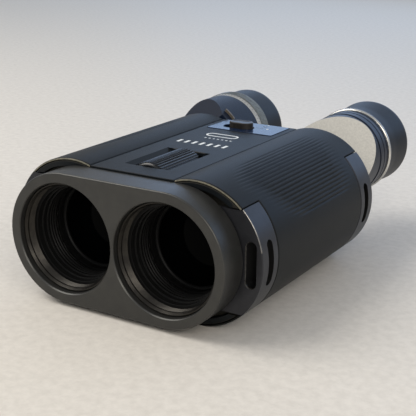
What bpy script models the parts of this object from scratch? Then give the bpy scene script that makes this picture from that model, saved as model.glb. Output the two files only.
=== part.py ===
"""Image-stabilised binoculars, modelled as an assembly of separate pieces.

Run with blender --background --python part.py, or from the text editor.
Sizes are in millimetres and become metres in point(). x is measured from the middle of the body, y runs
back from the front face of the hood, and z runs up from the objective axes. The root empty then stands the
model on its resting flats, with the origin under the middle of its box.
"""

from math import asin, atan2, cos, degrees, hypot, pi, radians, sin, sqrt

import bmesh
import bpy
from mathutils import Matrix, Vector

MM = 0.001
FINE, MEDIUM, COARSE = 44, 24, 12   # sides of a round piece
GAP = 0.3                           # clearance between pieces that seat on or slide past each other
RUNNING = 0.1                       # radial clearance of a shaft in its bore
SIDES = {"left": -1, "right": 1}
THROUGH = 200.0                     # long enough for a cutter to pass right through
BEYOND = 5.0                        # how far a cutter reaches past the face that it opens

# Objectives and hood
CELL_RADIUS, CELL_WALL, CELL_LENGTH = 21.6, 1.3, 25.4
LENS_THICKNESS, LENS_BULGE, LENS_SETBACK = 7.0, 1.6, 3.0
LENS_LIP, RETAINER_LENGTH = 1.5, 1.4
FOCUS_TRAVEL = 1.5                  # each way
WELL_STEP, WELL_DEPTH = 2.8, 9.6    # the well is wider than the cell by the step all round
BRIDGE = 1.8                        # between the two wells
HOOD_RIM, HOOD_DEPTH = 4.8, 14.6
FILTER_FRONT, FILTER_BACK, FILTER_STEP = 2.6, 8.2, 1.2
THROAT_ROOM = 0.6                   # between the cell and the hood
SEAT_RIM = 0.4                      # the bulkhead's raised seat is a little wider than the wells
BAFFLE_EDGE, BAFFLE_STEP = 0.5, 2.4
RETAINER_WIDTH, RETAINER_ROOM = 1.6, 0.9
YOKE_LAP = 8.0                      # how far the yoke's web runs into its rings

# Body
BODY_LENGTH = 112.4
BARREL_ROOM = 10.06                 # from the objective cell out to the armour
BARREL_SHIFT = 6.25                 # the barrels stand wider apart than the objectives
ARMOUR_THICKNESS, SHELL_WALL = 1.5, 1.8
DECK_DROP, REST_CUT = 1.66, 0.56    # from the barrels' top down to the deck, and off their underside
CRESCENT_DEPTH = 3.0                # set back of the bulkhead round the hood
PLATE = 2.0                         # front and rear bulkheads, and turret plates
LUG_DEPTH, LUG_LENGTH, LUG_BAR, LUG_SKIN = 9.61, 13.6, 4.9, 1.7
SLOT_TALL, SLOT_FRONT, SLOT_SIDE = 19.6, 4.7, 4.4

# Focus wheel
WHEEL_RADIUS, WHEEL_LENGTH, WHEEL_SETBACK, WHEEL_SINK = 10.0, 31.0, 13.0, 8.4
WHEEL_ROOM, WHEEL_EDGE, WHEEL_CLEAR = 1.4, 0.5, 0.9   # clear: at least, from wheel to cell
SCOOP_RAMP, SCOOP_DEPTH, SCOOP_LAP = 2.5, 2.2, 1.0
SHAFT_RADIUS, YOKE_THICKNESS, YOKE_RING = 2.0, 3.0, 1.5

# Control panel and power switch
PANEL_EDGE = 3.4                    # from the panel's side to the armour
PANEL_LENGTH, PANEL_THICKNESS, PANEL_PROUD, PANEL_MARGIN = 20.4, 1.0, 0.3, 1.0
KNOB_WIDTH, KNOB_LENGTH, KNOB_HEIGHT, KNOB_TRAVEL = 12.8, 7.6, 2.9, 3.0
KNOB_X, KNOB_SHIFT = -3.2, 1.5      # off the panel's middle, to the left and to the front
LED_RADIUS, LED_X, LED_MARGIN = 0.9, 6.5, 4.4

# Eyepieces
EYE_X, EYE_RISE = 36.57, 14.25      # eyepiece axis at rest
HOUSING_RADIUS = {"left": 21.8, "right": 20.7}
HOUSING_LENGTH = {"left": 26.5, "right": 20.6}
NECK_RADIUS, NECK_BORE, NECK_END = 18.0, 15.6, 0.6
FACET_LEAN = {"left": 5.5, "right": 1.2}   # how far before the housing its facet crosses the eyepiece axis
RING_LENGTH, DIOPTER_RADIUS, DIOPTER_CHAMFER = 9.8, 22.4, (1.0, 2.6)
GRIP_RADIUS, GRIP_GROOVES, GRIP_GROOVE = 21.0, (4.2, 7.8), (0.5, 0.6)
TRIM_RADIUS, TRIM_LENGTH, TRIM_EDGE = 21.8, 2.8, 0.6
CUP_RADIUS = {"left": (20.9, 20.9), "right": (20.8, 21.8)}   # front and rear ends
CUP_LENGTH = {"left": 17.9, "right": 22.7}
CUP_OPENING, CUP_WEB, CUP_LIP = 14.6, 3.4, 2.0
OCULAR_RADIUS, OCULAR_WALL, OCULAR_REACH, OCULAR_START = 15.2, 1.8, 9.0, 3.0
OCULAR_ROOM = 1.8                   # free space before the ocular barrel, for the left one's travel
EYE_LENS_THICKNESS, EYE_LENS_SETBACK = 5.0, 0.5
PRISM_SIDE, PRISM_WALL, PRISM_SLACK = 14.0, 1.2, 0.8   # rhomboid prism, and the casting round it
PIVOT_RADIUS, PIVOT_WALL, PIVOT_REACH = 11.5, 2.4, 3.0
TAB_START, TAB_STOP, TAB_HEIGHT, TAB_LENGTH, TAB_SETBACK = 40, 57, 1.3, 1.8, 4.0

# Stabiliser
GIMBAL_DEPTH, GIMBAL_SWING = 5.0, 1.5
FRAME_HALF_HEIGHT, FRAME_BAR, FRAME_ROOM, PRISM_FRAME_HALF_HEIGHT = 20.5, 3.0, 2.7, 14.0
PIN_RADIUS = 1.5
PRISM_BLOCK, PRISM_LENGTH = 20.0, 26.0
ROOF_CUT, ROOF_FLAT = 0.55, 0.45    # of the prism's half width: where its roof faces start and end
ACTUATOR_RADIUS, ACTUATOR_LENGTH = 4.5, 6.5
YAW_ACTUATOR = (3.8, 8.0, 9.4)

# Chassis, battery and fittings
CHASSIS_SHEET, CHASSIS_EDGE, CHASSIS_DROP, ROOF_DROP = 2.0, 1.3, 1.5, 0.8
POST_HALF_WIDTH, POST_SETBACK, LEG_WIDTH, LEG_ROOM = 3.0, 2.4, 3.0, 0.8
BOARD_LENGTH, BOARD_THICKNESS, BOARD_DROP, BOARD_MARGIN = 22.0, 1.2, 2.0, 1.0
BATTERY_RADIUS, BATTERY_LENGTH, BATTERY_DROP, BATTERY_SLACK = 7.8, 27.0, 13.0, 1.5
TUBE_WALL, TUBE_FLOOR = 1.3, 1.5
CAP_LAP, CAP_FLANGE, CAP_THICKNESS, COIN_SLOT = 0.2, 1.2, 1.6, (12.0, 1.8, 1.0)
TRIPOD_RADIUS, TRIPOD_BORE, TRIPOD_Y, TRIPOD_DEPTH, TRIPOD_FLOOR = 6.0, 3.0, 46.0, 4.5, 1.0
SCREW_HEAD, SCREW_SHANK, SCREW_HEAD_DEPTH, SCREW_LENGTH = 2.4, 1.2, 0.75, 4.8
SCREW_X, SCREW_SETBACK = 12.0, 15.2  # from the middle, and from the body's ends
FLUSH = 0.15                        # how far the underside fittings stand below the surface

# Sizes that follow from them
WELL_RADIUS = CELL_RADIUS + WELL_STEP
HOOD_RADIUS = WELL_RADIUS + HOOD_RIM
OBJECTIVE_X = WELL_RADIUS + BRIDGE / 2
CELL_BORE = CELL_RADIUS - CELL_WALL
BARREL_RADIUS = CELL_RADIUS + BARREL_ROOM
BARREL_X = OBJECTIVE_X + BARREL_SHIFT
DECK_HEIGHT = BARREL_RADIUS - DECK_DROP
REST_HEIGHT = BARREL_RADIUS - REST_CUT
CREASE_X = BARREL_X - sqrt(BARREL_RADIUS ** 2 - DECK_HEIGHT ** 2)
SHELL_RADIUS = BARREL_RADIUS - ARMOUR_THICKNESS - GAP
SHELL_INSIDE = SHELL_RADIUS - SHELL_WALL
HALF_DECK = CREASE_X - GAP
OUTSIDE = BARREL_X + BARREL_RADIUS + BEYOND
LUG_FLAT = BARREL_X + BARREL_RADIUS - LUG_DEPTH
LUG_HALF_HEIGHT = sqrt(BARREL_RADIUS ** 2 - (LUG_FLAT - BARREL_X) ** 2)
APRON_X = OBJECTIVE_X + WELL_RADIUS / 2
SEAT_RADIUS = WELL_RADIUS + SEAT_RIM

BODY_FRONT, BODY_REAR = HOOD_DEPTH, HOOD_DEPTH + BODY_LENGTH
BULKHEAD_FRONT = BODY_FRONT + CRESCENT_DEPTH
BULKHEAD_BACK = BULKHEAD_FRONT + PLATE
REAR_PLATE = BODY_REAR - PLATE
CELL_FRONT = BULKHEAD_BACK + FOCUS_TRAVEL + 1
CELL_BACK = CELL_FRONT + CELL_LENGTH
WHEEL_FRONT = BODY_FRONT + WHEEL_SETBACK
WHEEL_REAR = WHEEL_FRONT + WHEEL_LENGTH
WHEEL_HEIGHT = max(DECK_HEIGHT - WHEEL_SINK,
                   sqrt((CELL_RADIUS + WHEEL_RADIUS + WHEEL_CLEAR) ** 2 - OBJECTIVE_X ** 2))
HALF_WINDOW = sqrt(WHEEL_RADIUS ** 2 - (DECK_HEIGHT - SHELL_WALL - WHEEL_HEIGHT) ** 2) + WHEEL_ROOM

FLOOR = -DECK_HEIGHT + SHELL_WALL + CHASSIS_DROP
ROOF = DECK_HEIGHT - SHELL_WALL - ROOF_DROP
CHASSIS_HALF_WIDTH = HALF_DECK - SHELL_WALL - CHASSIS_EDGE
POST_FRONT = WHEEL_REAR + POST_SETBACK
GIMBAL_Y = max(POST_FRONT + CHASSIS_SHEET + GIMBAL_SWING + GIMBAL_DEPTH / 2,
               CELL_BACK + FOCUS_TRAVEL + GIMBAL_SWING + PRISM_LENGTH / 2)
GIMBAL_FRONT, GIMBAL_BACK = GIMBAL_Y - GIMBAL_DEPTH / 2, GIMBAL_Y + GIMBAL_DEPTH / 2
FRAME_HALF_WIDTH = BARREL_X + sqrt(SHELL_INSIDE ** 2 - FRAME_HALF_HEIGHT ** 2) - FRAME_ROOM
PRISM_FRAME_HALF_WIDTH = FRAME_HALF_WIDTH - FRAME_BAR - GIMBAL_SWING
TUBE_RADIUS = BATTERY_RADIUS + GAP + TUBE_WALL
TUBE_BACK = REAR_PLATE - GAP
TUBE_FRONT = TUBE_BACK - BATTERY_LENGTH - TUBE_FLOOR - BATTERY_SLACK
LEG_X = TUBE_RADIUS + LEG_ROOM
CAP_RADIUS = TUBE_RADIUS + CAP_LAP
SCREWS = {f"{end}_{side}": (sign * SCREW_X, y) for end, y in
          (("front", BODY_FRONT + SCREW_SETBACK), ("rear", BODY_REAR - SCREW_SETBACK))
          for side, sign in SIDES.items()}

PANEL_HALF_WIDTH = CREASE_X - PANEL_EDGE
PANEL_TOP = DECK_HEIGHT + PANEL_PROUD
PANEL_BACK = BODY_REAR - PANEL_MARGIN - GAP
KNOB_Y = PANEL_BACK - PANEL_LENGTH / 2 - KNOB_SHIFT
LED_Y = PANEL_BACK - LED_MARGIN

TURRET_FRONT = BODY_REAR + GAP
HOUSING_FRONT = TURRET_FRONT + PLATE + GAP
OFFSET = hypot(EYE_X - OBJECTIVE_X, EYE_RISE)
OFFSET_ANGLE = atan2(EYE_RISE, EYE_X - OBJECTIVE_X)
POCKET = PRISM_SIDE + PRISM_SLACK
TUNNEL_START = POCKET + PRISM_WALL + OCULAR_START - OCULAR_ROOM   # where the ocular barrel's tunnel begins
# The least lean that leaves a wall over the prism and over the tunnel
LEAST_LEAN = max(sqrt(2) * (PRISM_WALL + GAP) - PRISM_SIDE / 2,
                 NECK_BORE + sqrt(2) * PRISM_WALL - TUNNEL_START)
LOBE_RADIUS = (PRISM_SIDE / 2 + GAP) * sqrt(2) + PRISM_WALL
TRIM = {"left": 0.0, "right": TRIM_LENGTH + GAP}
RING_FRONT = {side: HOUSING_FRONT + HOUSING_LENGTH[side] + GAP for side in SIDES}
CUP_FRONT = {side: RING_FRONT[side] + RING_LENGTH + GAP + TRIM[side] for side in SIDES}
LENGTH = max(CUP_FRONT[side] + CUP_LENGTH[side] for side in SIDES)

BLACK, GUNMETAL, RUBBER = "black_shell", "gunmetal", "rubber"
MATERIALS = {                       # colour, roughness, metallic
    BLACK: ((0.030, 0.036, 0.042), 0.45, 0.0),
    GUNMETAL: ((0.085, 0.083, 0.080), 0.38, 0.7),
    RUBBER: ((0.022, 0.023, 0.024), 0.65, 0.0),
    "gloss_panel": ((0.020, 0.030, 0.045), 0.15, 0.0),
    "baffle_black": ((0.006, 0.006, 0.006), 0.6, 0.0),
    "glass": ((0.02, 0.05, 0.03), 0.05, 0.0),
    "prism_glass": ((0.6, 0.65, 0.65), 0.05, 0.0),
    "aluminium": ((0.55, 0.55, 0.54), 0.35, 1.0),
    "light_grey": ((0.42, 0.415, 0.39), 0.7, 0.0),
    "dark_satin": ((0.022, 0.032, 0.048), 0.4, 0.0),
    "knurled": ((0.24, 0.235, 0.19), 0.45, 0.8),
    "bright_metal": ((0.8, 0.8, 0.78), 0.15, 1.0),
    "brass": ((0.55, 0.40, 0.18), 0.35, 1.0),
    "steel": ((0.35, 0.35, 0.36), 0.3, 1.0),
    "circuit": ((0.02, 0.10, 0.05), 0.5, 0.0),
    "battery_wrap": ((0.10, 0.11, 0.13), 0.4, 0.3),
    "led_lens": ((0.02, 0.02, 0.02), 0.2, 0.0),
}


# ---------------------------------------------------------------- modelling helpers

def material(name):
    found = bpy.data.materials.get(name)
    if found:
        return found
    colour, roughness, metallic = MATERIALS[name]
    made = bpy.data.materials.new(name)
    made.use_nodes = True
    shader = made.node_tree.nodes["Principled BSDF"]
    shader.inputs["Base Color"].default_value = (*colour, 1)
    shader.inputs["Roughness"].default_value = roughness
    shader.inputs["Metallic"].default_value = metallic
    made.diffuse_color = (*colour, 1)
    return made


def point(x, y, z):
    return Vector((x, y, z)) * MM


def finished(bm, name, at=(0, 0, 0), look=BLACK):
    """Closes a bmesh into an object at a place, with its material."""
    bmesh.ops.remove_doubles(bm, verts=bm.verts, dist=1e-7)
    bmesh.ops.recalc_face_normals(bm, faces=bm.faces)
    data = bpy.data.meshes.new(name)
    bm.to_mesh(data)
    bm.free()
    made = bpy.data.objects.new(name, data)
    made.location = point(*at)
    made.data.materials.append(material(look))
    bpy.context.collection.objects.link(made)
    bpy.context.view_layer.update()
    return made


def turned(name, profile, at, look=BLACK, sides=MEDIUM):
    """A closed (radius, y) profile spun about the Y axis through at."""
    bm = bmesh.new()
    corners = [bm.verts.new(point(radius, y, 0)) for radius, y in profile]
    pairs = zip(corners, corners[1:] + corners[:1])
    edges = [bm.edges.new(pair) for pair in pairs if max(corner.co.x for corner in pair) > 0]
    bmesh.ops.spin(bm, geom=corners + edges, cent=(0, 0, 0), axis=(0, 1, 0), angle=2 * pi, steps=sides,
                   use_merge=True)
    return finished(bm, name, at, look)


def disc(name, radius, front, back, at, look=BLACK, sides=MEDIUM):
    return turned(name, [(0, front), (radius, front), (radius, back), (0, back)], at, look, sides)


def tube(name, outer, inner, front, back, at, look=BLACK, sides=MEDIUM):
    return turned(name, [(inner, front), (outer, front), (outer, back), (inner, back)], at, look, sides)


def bore(radius, at, sides=MEDIUM):
    """A cutter right through along Y."""
    return disc("bore", radius, -THROUGH, THROUGH, at, BLACK, sides)


def slab(name, outline, front, back, at=(0, 0, 0), look=BLACK):
    """An (x, z) outline extruded along Y."""
    bm = bmesh.new()
    face = bm.faces.new([bm.verts.new(point(x, front, z)) for x, z in outline])
    moved = bmesh.ops.extrude_face_region(bm, geom=[face])["geom"]
    corners = [item for item in moved if isinstance(item, bmesh.types.BMVert)]
    bmesh.ops.translate(bm, verts=corners, vec=point(0, back - front, 0))
    return finished(bm, name, at, look)


def box(name, across, along_y, up, look=BLACK):
    """A block between two values on each axis, given in either order."""
    (x0, x1), (y0, y1), (z0, z1) = sorted(across), sorted(along_y), sorted(up)
    return slab(name, [(x0, z0), (x1, z0), (x1, z1), (x0, z1)], y0, y1, (0, 0, 0), look)


TURNS = {"across": Matrix.Rotation(-pi / 2, 4, "Z"), "up": Matrix.Rotation(pi / 2, 4, "X"),
         "down": Matrix.Rotation(-pi / 2, 4, "X")}


def turn_to(obj, way):
    """Turns a piece made along +Y so that it runs across (+X), up (+Z) or down (-Z)."""
    obj.data.transform(TURNS[way])
    return obj


def arc(radius, start, stop, steps, x=0.0, z=0.0):
    """Points along an arc, in degrees from +X towards +Z."""
    turns = [radians(start + (stop - start) * i / steps) for i in range(steps + 1)]
    return [(x + radius * cos(turn), z + radius * sin(turn)) for turn in turns]


def stadium(half_spacing, radius, steps=FINE // 2):
    """Outline of two equal circles and the flats between them."""
    return arc(radius, -90, 90, steps, half_spacing) + arc(radius, 90, 270, steps, -half_spacing)


def hull_of_circles(radius_a, a, radius_b, b, steps=MEDIUM // 2):
    """Outline of two circles in the X-Z plane and their outer tangents."""
    direction = degrees(atan2(b[1] - a[1], b[0] - a[0]))
    lean = degrees(asin((radius_a - radius_b) / hypot(b[0] - a[0], b[1] - a[1])))
    half = 90 - lean
    return (arc(radius_b, direction - half, direction + half, steps, *b)
            + arc(radius_a, direction + half, direction + 360 - half, steps, *a))


def wedge(ends, halves):
    """A three-sided prism: a triangle of points at one end, and the same at the other."""
    bm = bmesh.new()
    corners = [bm.verts.new(point(*place)) for end in halves for place in ends(end)]
    for face in ((0, 1, 2), (5, 4, 3), (0, 3, 4, 1), (1, 4, 5, 2), (2, 5, 3, 0)):
        bm.faces.new([corners[i] for i in face])
    return finished(bm, "wedge")


def combine(target, operation, others):
    """Joins others to target, or cuts them from it, and removes them.

    The solver is MANIFOLD, because EXACT leaves open edges on these thin shells.
    """
    for other in others:
        change = target.modifiers.new("shape", "BOOLEAN")
        change.operation = operation
        change.solver = "MANIFOLD"
        change.object = other
        bpy.context.view_layer.update()
        seen = target.evaluated_get(bpy.context.evaluated_depsgraph_get())
        result = bpy.data.meshes.new_from_object(seen)
        target.modifiers.clear()
        target.data = result
        bpy.data.objects.remove(other)
    return target


def cut(target, *others):
    return combine(target, "DIFFERENCE", others)


def join(target, *others):
    return combine(target, "UNION", others)


def parent(child, holder):
    bpy.context.view_layer.update()
    child.parent = holder
    child.matrix_parent_inverse = holder.matrix_world.inverted()
    return child


def pivot(name, at, holder):
    """An empty on a joint's axis."""
    made = bpy.data.objects.new(name, None)
    made.location = point(*at)
    made.empty_display_size = 0.01
    bpy.context.collection.objects.link(made)
    return parent(made, holder)


def objective_axis(side):
    return (SIDES[side] * OBJECTIVE_X, 0, 0)


def eye_axis(side):
    return (SIDES[side] * EYE_X, 0, EYE_RISE)


# ---------------------------------------------------------------- body

def barrels(name, radius, front, back, half_deck, deck):
    """Two cylinders and the block between them."""
    block = box(name, (-half_deck, half_deck), (front, back), (-deck, deck))
    return join(block, *[disc("barrel", radius, front, back, (sign * BARREL_X, 0, 0), BLACK, FINE)
                         for sign in SIDES.values()])


def lug_cutters():
    """Room for the four strap lugs, with their clearance."""
    room = LUG_LENGTH + 2 * GAP
    return [box("room", (sign * (LUG_FLAT - GAP), sign * OUTSIDE), ends, (-OUTSIDE, OUTSIDE))
            for sign in SIDES.values()
            for ends in ((BODY_FRONT - BEYOND, BODY_FRONT + room), (BODY_REAR - room, BODY_REAR + BEYOND))]


def apron_rooms():
    """Room in the shell's and the armour's front edge for the front lugs' aprons."""
    half = LUG_HALF_HEIGHT + GAP
    return [box("room", (sign * (APRON_X - GAP), sign * OUTSIDE), (BODY_FRONT - BEYOND, BULKHEAD_FRONT),
                (-half, half)) for sign in SIDES.values()]


def below_rest():
    """Everything below the resting flats."""
    return box("below", (-OUTSIDE, OUTSIDE), (BODY_FRONT - BEYOND, BODY_REAR + BEYOND),
               (-OUTSIDE, -REST_HEIGHT))


def main_shell():
    shell = barrels("main_shell", SHELL_RADIUS, BODY_FRONT + GAP, BODY_REAR, HALF_DECK, DECK_HEIGHT)
    inside = barrels("inside", SHELL_INSIDE, BODY_FRONT - BEYOND, BODY_REAR + BEYOND, HALF_DECK - SHELL_WALL,
                     DECK_HEIGHT - SHELL_WALL)
    above = (0, DECK_HEIGHT + BEYOND)
    wheel_y = (WHEEL_FRONT - WHEEL_ROOM, WHEEL_REAR + WHEEL_ROOM)
    window = box("window", (-HALF_WINDOW, HALF_WINDOW), wheel_y, above)
    half, floor = PANEL_HALF_WIDTH + GAP, PANEL_TOP - PANEL_THICKNESS - GAP
    recess = box("recess", (-half, half), (PANEL_BACK - PANEL_LENGTH - GAP, PANEL_BACK + GAP),
                 (floor, DECK_HEIGHT + BEYOND))
    return cut(shell, inside, window, recess, *scoop_cutters(), tripod_room(), *screw_cutters(),
               *lug_cutters(), *apron_rooms())


def scoop_cutters():
    """The finger scoops, ramps down to the wheel on each side of it."""
    cutters = []
    for sign in SIDES.values():
        top, foot = sign * (HALF_WINDOW + SCOOP_RAMP), sign * (HALF_WINDOW - SCOOP_LAP)
        high = DECK_HEIGHT + BEYOND
        outline = [(top, DECK_HEIGHT), (foot, DECK_HEIGHT - SCOOP_DEPTH), (foot, high), (top, high)]
        cutters.append(slab("scoop", outline, WHEEL_FRONT - WHEEL_ROOM, WHEEL_REAR + WHEEL_ROOM))
    return cutters


def armour(side):
    """The rubber skin over one barrel, from the deck's crease round to the crease on the underside."""
    sign = SIDES[side]
    skin = tube(f"rubber_armour_{side}", BARREL_RADIUS, BARREL_RADIUS - ARMOUR_THICKNESS, BODY_FRONT + GAP,
                BODY_REAR, (sign * BARREL_X, 0, 0), RUBBER, FINE)
    inner = box("inner", (-sign * BARREL_X, sign * CREASE_X), (BODY_FRONT - BEYOND, BODY_REAR + BEYOND),
                (-OUTSIDE, OUTSIDE))
    return cut(skin, inner, below_rest(), *lug_cutters(), *apron_rooms())


def lug_apron(side):
    """The front lug's thin plate, which closes the step between the hood and the barrel."""
    sign, half = SIDES[side], LUG_HALF_HEIGHT
    front, back = BODY_FRONT + 2 * GAP, BULKHEAD_FRONT - GAP
    reach = (front - BEYOND, back + BEYOND)
    plate = disc("apron", BARREL_RADIUS, front, back, (sign * BARREL_X, 0, 0), GUNMETAL, FINE)
    inner = box("inner", (-sign * OUTSIDE, sign * APRON_X), reach, (-OUTSIDE, OUTSIDE))
    ends = [box("end", (-OUTSIDE, OUTSIDE), reach, (way * half, way * OUTSIDE)) for way in (-1, 1)]
    return cut(plate, inner, *ends, slab("seat", stadium(OBJECTIVE_X, SEAT_RADIUS + GAP), *reach))


def strap_lug(side, end):
    """A segment of the barrel with a slot in its end face and one in its side, which meet inside."""
    sign = SIDES[side]
    way = 1 if end == "front" else -1
    outer = BODY_FRONT + 2 * GAP if end == "front" else BODY_REAR
    inner = outer + way * (LUG_LENGTH - GAP)
    low, high = sorted((outer, inner))
    lug = disc(f"strap_lug_{end}_{side}", BARREL_RADIUS, low, high, (sign * BARREL_X, 0, 0), GUNMETAL, FINE)
    rest = box("rest", (-sign * OUTSIDE, sign * LUG_FLAT), (low - BEYOND, high + BEYOND), (-OUTSIDE, OUTSIDE))
    slot_x = sign * (LUG_FLAT + LUG_SKIN)
    tall = (-SLOT_TALL / 2, SLOT_TALL / 2)
    bar_end = outer + way * LUG_BAR
    slot_end = bar_end + way * SLOT_SIDE
    end_slot = box("slot", (slot_x, slot_x + sign * SLOT_FRONT), (outer - way * BEYOND, slot_end), tall)
    side_slot = box("slot", (slot_x, sign * OUTSIDE), (bar_end, slot_end), tall)
    cut(lug, rest)
    if end == "front":
        join(lug, lug_apron(side))
    return cut(lug, join(end_slot, side_slot))


def front_hood():
    hood = slab("front_hood", stadium(OBJECTIVE_X, HOOD_RADIUS), 0, HOOD_DEPTH, (0, 0, 0), GUNMETAL)
    for side in SIDES:
        at = objective_axis(side)
        cut(hood, disc("well", WELL_RADIUS, -BEYOND, WELL_DEPTH, at, BLACK, FINE),
            bore(CELL_RADIUS + THROAT_ROOM, at, FINE))
    return hood


def plate_outline(name, front):
    """A bulkhead that fits inside the shell."""
    clear = SHELL_WALL + GAP
    plate = barrels(name, SHELL_RADIUS - clear, front, front + PLATE, HALF_DECK - clear, DECK_HEIGHT - clear)
    return cut(plate, *lug_cutters())


def front_bulkhead():
    """Carries the hood on a raised seat, and the wheel shaft's front bearing."""
    seat = slab("seat", stadium(OBJECTIVE_X, SEAT_RADIUS), HOOD_DEPTH + GAP, BULKHEAD_FRONT + PLATE / 2)
    holes = [bore(CELL_RADIUS + THROAT_ROOM, objective_axis(side), FINE) for side in SIDES]
    bearing = bore(SHAFT_RADIUS + RUNNING, (0, 0, WHEEL_HEIGHT), COARSE)
    return cut(join(plate_outline("front_bulkhead", BULKHEAD_FRONT), seat), *holes, bearing)


def rear_bulkhead():
    """Holds the turrets' pivots and the battery cap."""
    holes = [bore(PIVOT_RADIUS + GAP, objective_axis(side)) for side in SIDES]
    cap_hole = bore(CAP_RADIUS + GAP, (0, 0, -BATTERY_DROP))
    return cut(plate_outline("rear_bulkhead", REAR_PLATE), *holes, cap_hole)


def chassis():
    """Floor, wheel post, roof bar and the gimbal's two legs in one casting."""
    half, post = CHASSIS_HALF_WIDTH, POST_HALF_WIDTH
    upright = (FLOOR + CHASSIS_SHEET / 2, ROOF)
    bar_z = (ROOF - CHASSIS_SHEET, ROOF)
    legs_y = (GIMBAL_BACK + GIMBAL_SWING, GIMBAL_BACK + GIMBAL_SWING + CHASSIS_SHEET)
    frame = box("chassis", (-half, half), (BULKHEAD_BACK + GAP, REAR_PLATE - GAP),
                (FLOOR, FLOOR + CHASSIS_SHEET), "aluminium")
    wheel_post = box("post", (-post, post), (POST_FRONT, POST_FRONT + CHASSIS_SHEET), upright)
    bar = box("bar", (-post, post), (POST_FRONT + CHASSIS_SHEET / 2, legs_y[1]), bar_z)
    yoke = box("yoke", (-LEG_X - LEG_WIDTH, LEG_X + LEG_WIDTH), legs_y, bar_z)
    legs = [box("leg", (sign * LEG_X, sign * (LEG_X + LEG_WIDTH)), legs_y, upright)
            for sign in SIDES.values()]
    frame = join(frame, wheel_post, bar, yoke, *legs)
    bearing = disc("bearing", SHAFT_RADIUS + RUNNING, POST_FRONT - BEYOND, POST_FRONT + CHASSIS_SHEET + GAP,
                   (0, 0, WHEEL_HEIGHT), BLACK, COARSE)
    pin_hole = turn_to(bore(PIN_RADIUS + RUNNING, (0, GIMBAL_Y, 0), COARSE), "up")
    return cut(frame, bearing, pin_hole, tripod_room(), *screw_cutters())


def underside(name, profile, x, y, look=BLACK):
    """A turned piece in the underside, its profile given in depth from the objective axes."""
    return turn_to(turned(name, profile, (x, y, 0), look, COARSE), "down")


def tripod_room():
    radius, inner, outer = TRIPOD_RADIUS + GAP, DECK_HEIGHT - TRIPOD_DEPTH - GAP, DECK_HEIGHT + BEYOND
    return underside("room", [(0, inner), (radius, inner), (radius, outer), (0, outer)], 0, TRIPOD_Y)


def tripod_bush():
    """The bush for a tripod screw, open below."""
    inner, outer = DECK_HEIGHT - TRIPOD_DEPTH, DECK_HEIGHT - FLUSH
    floor = inner + TRIPOD_FLOOR
    return underside("tripod_bush", [(0, inner), (TRIPOD_RADIUS, inner), (TRIPOD_RADIUS, outer),
                                     (TRIPOD_BORE, outer), (TRIPOD_BORE, floor), (0, floor)], 0, TRIPOD_Y,
                     "brass")


def screw_profile(grow, end, outer):
    """Shank and head, with the clearance that a hole needs."""
    neck = DECK_HEIGHT - FLUSH - SCREW_HEAD_DEPTH + (0 if grow == 0 else -FLUSH)
    shank, head = SCREW_SHANK + grow, SCREW_HEAD + grow
    return [(0, end), (shank, end), (shank, neck), (head, neck), (head, outer), (0, outer)]


def screw_cutters():
    """Counterbores and holes for the underside screws."""
    deep = DECK_HEIGHT - SCREW_LENGTH - BEYOND
    return [underside("hole", screw_profile(RUNNING, deep, DECK_HEIGHT + BEYOND), *place)
            for place in SCREWS.values()]


def underside_screw(place):
    profile = screw_profile(0, DECK_HEIGHT - SCREW_LENGTH, DECK_HEIGHT - FLUSH)
    return underside(f"underside_screw_{place}", profile, *SCREWS[place], "steel")


# ---------------------------------------------------------------- objectives and focus

def filter_ring(side):
    """The threaded ring just inside the well's mouth."""
    inner, outer = CELL_RADIUS + FILTER_STEP, WELL_RADIUS - GAP
    return turned(f"filter_ring_{side}", [(inner + FILTER_STEP / 2, FILTER_FRONT), (outer, FILTER_FRONT),
                                          (outer, FILTER_BACK), (inner, FILTER_BACK),
                                          (inner, FILTER_FRONT + 1)], objective_axis(side), GUNMETAL, FINE)


def objective_baffle(side):
    """Steps down from the filter ring to the cell's bore, and ends where the cell's travel starts."""
    front, seat, back = FILTER_BACK + GAP, WELL_DEPTH - GAP, CELL_FRONT - FOCUS_TRAVEL - GAP
    step = THROAT_ROOM
    return turned(f"objective_baffle_{side}", [(CELL_BORE + 2 * step, front),
                                               (WELL_RADIUS - GAP - BAFFLE_EDGE, front),
                                               (WELL_RADIUS - GAP - BAFFLE_EDGE, seat),
                                               (CELL_RADIUS, seat), (CELL_RADIUS, back), (CELL_BORE, back),
                                               (CELL_BORE, seat + 2 * BAFFLE_STEP),
                                               (CELL_BORE + step, seat + 2 * BAFFLE_STEP),
                                               (CELL_BORE + step, seat + BAFFLE_STEP),
                                               (CELL_BORE + 2 * step, seat + BAFFLE_STEP)],
                  objective_axis(side), "baffle_black")


def objective_cell(side):
    """The tube that the focus moves, with a lip behind its lens and a stop at its back."""
    lip_front = CELL_FRONT + LENS_SETBACK + LENS_THICKNESS + GAP
    lip_back = lip_front + LENS_LIP
    stop_radius, stop_front = CELL_BORE - 2 * LENS_LIP, CELL_BACK - LENS_LIP
    return turned(f"objective_cell_{side}", [(CELL_BORE, CELL_FRONT), (CELL_RADIUS, CELL_FRONT),
                                             (CELL_RADIUS, CELL_BACK), (stop_radius, CELL_BACK),
                                             (stop_radius, stop_front), (CELL_BORE, stop_front),
                                             (CELL_BORE, lip_back), (CELL_BORE - LENS_LIP, lip_back),
                                             (CELL_BORE - LENS_LIP, lip_front), (CELL_BORE, lip_front)],
                  objective_axis(side), "baffle_black")


def objective_lens(side):
    """Bulges forward in the middle; its rim is LENS_BULGE thinner."""
    radius, seat = CELL_BORE - GAP, CELL_FRONT + LENS_SETBACK
    front = [(radius * share, seat + LENS_BULGE * (2 * share * share - 1)) for share in (0, 0.45, 0.75, 0.93)]
    return turned(f"objective_lens_{side}", [*front, (radius, seat + LENS_BULGE),
                                             (radius, seat + LENS_THICKNESS), (0, seat + LENS_THICKNESS)],
                  objective_axis(side), "glass")


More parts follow.
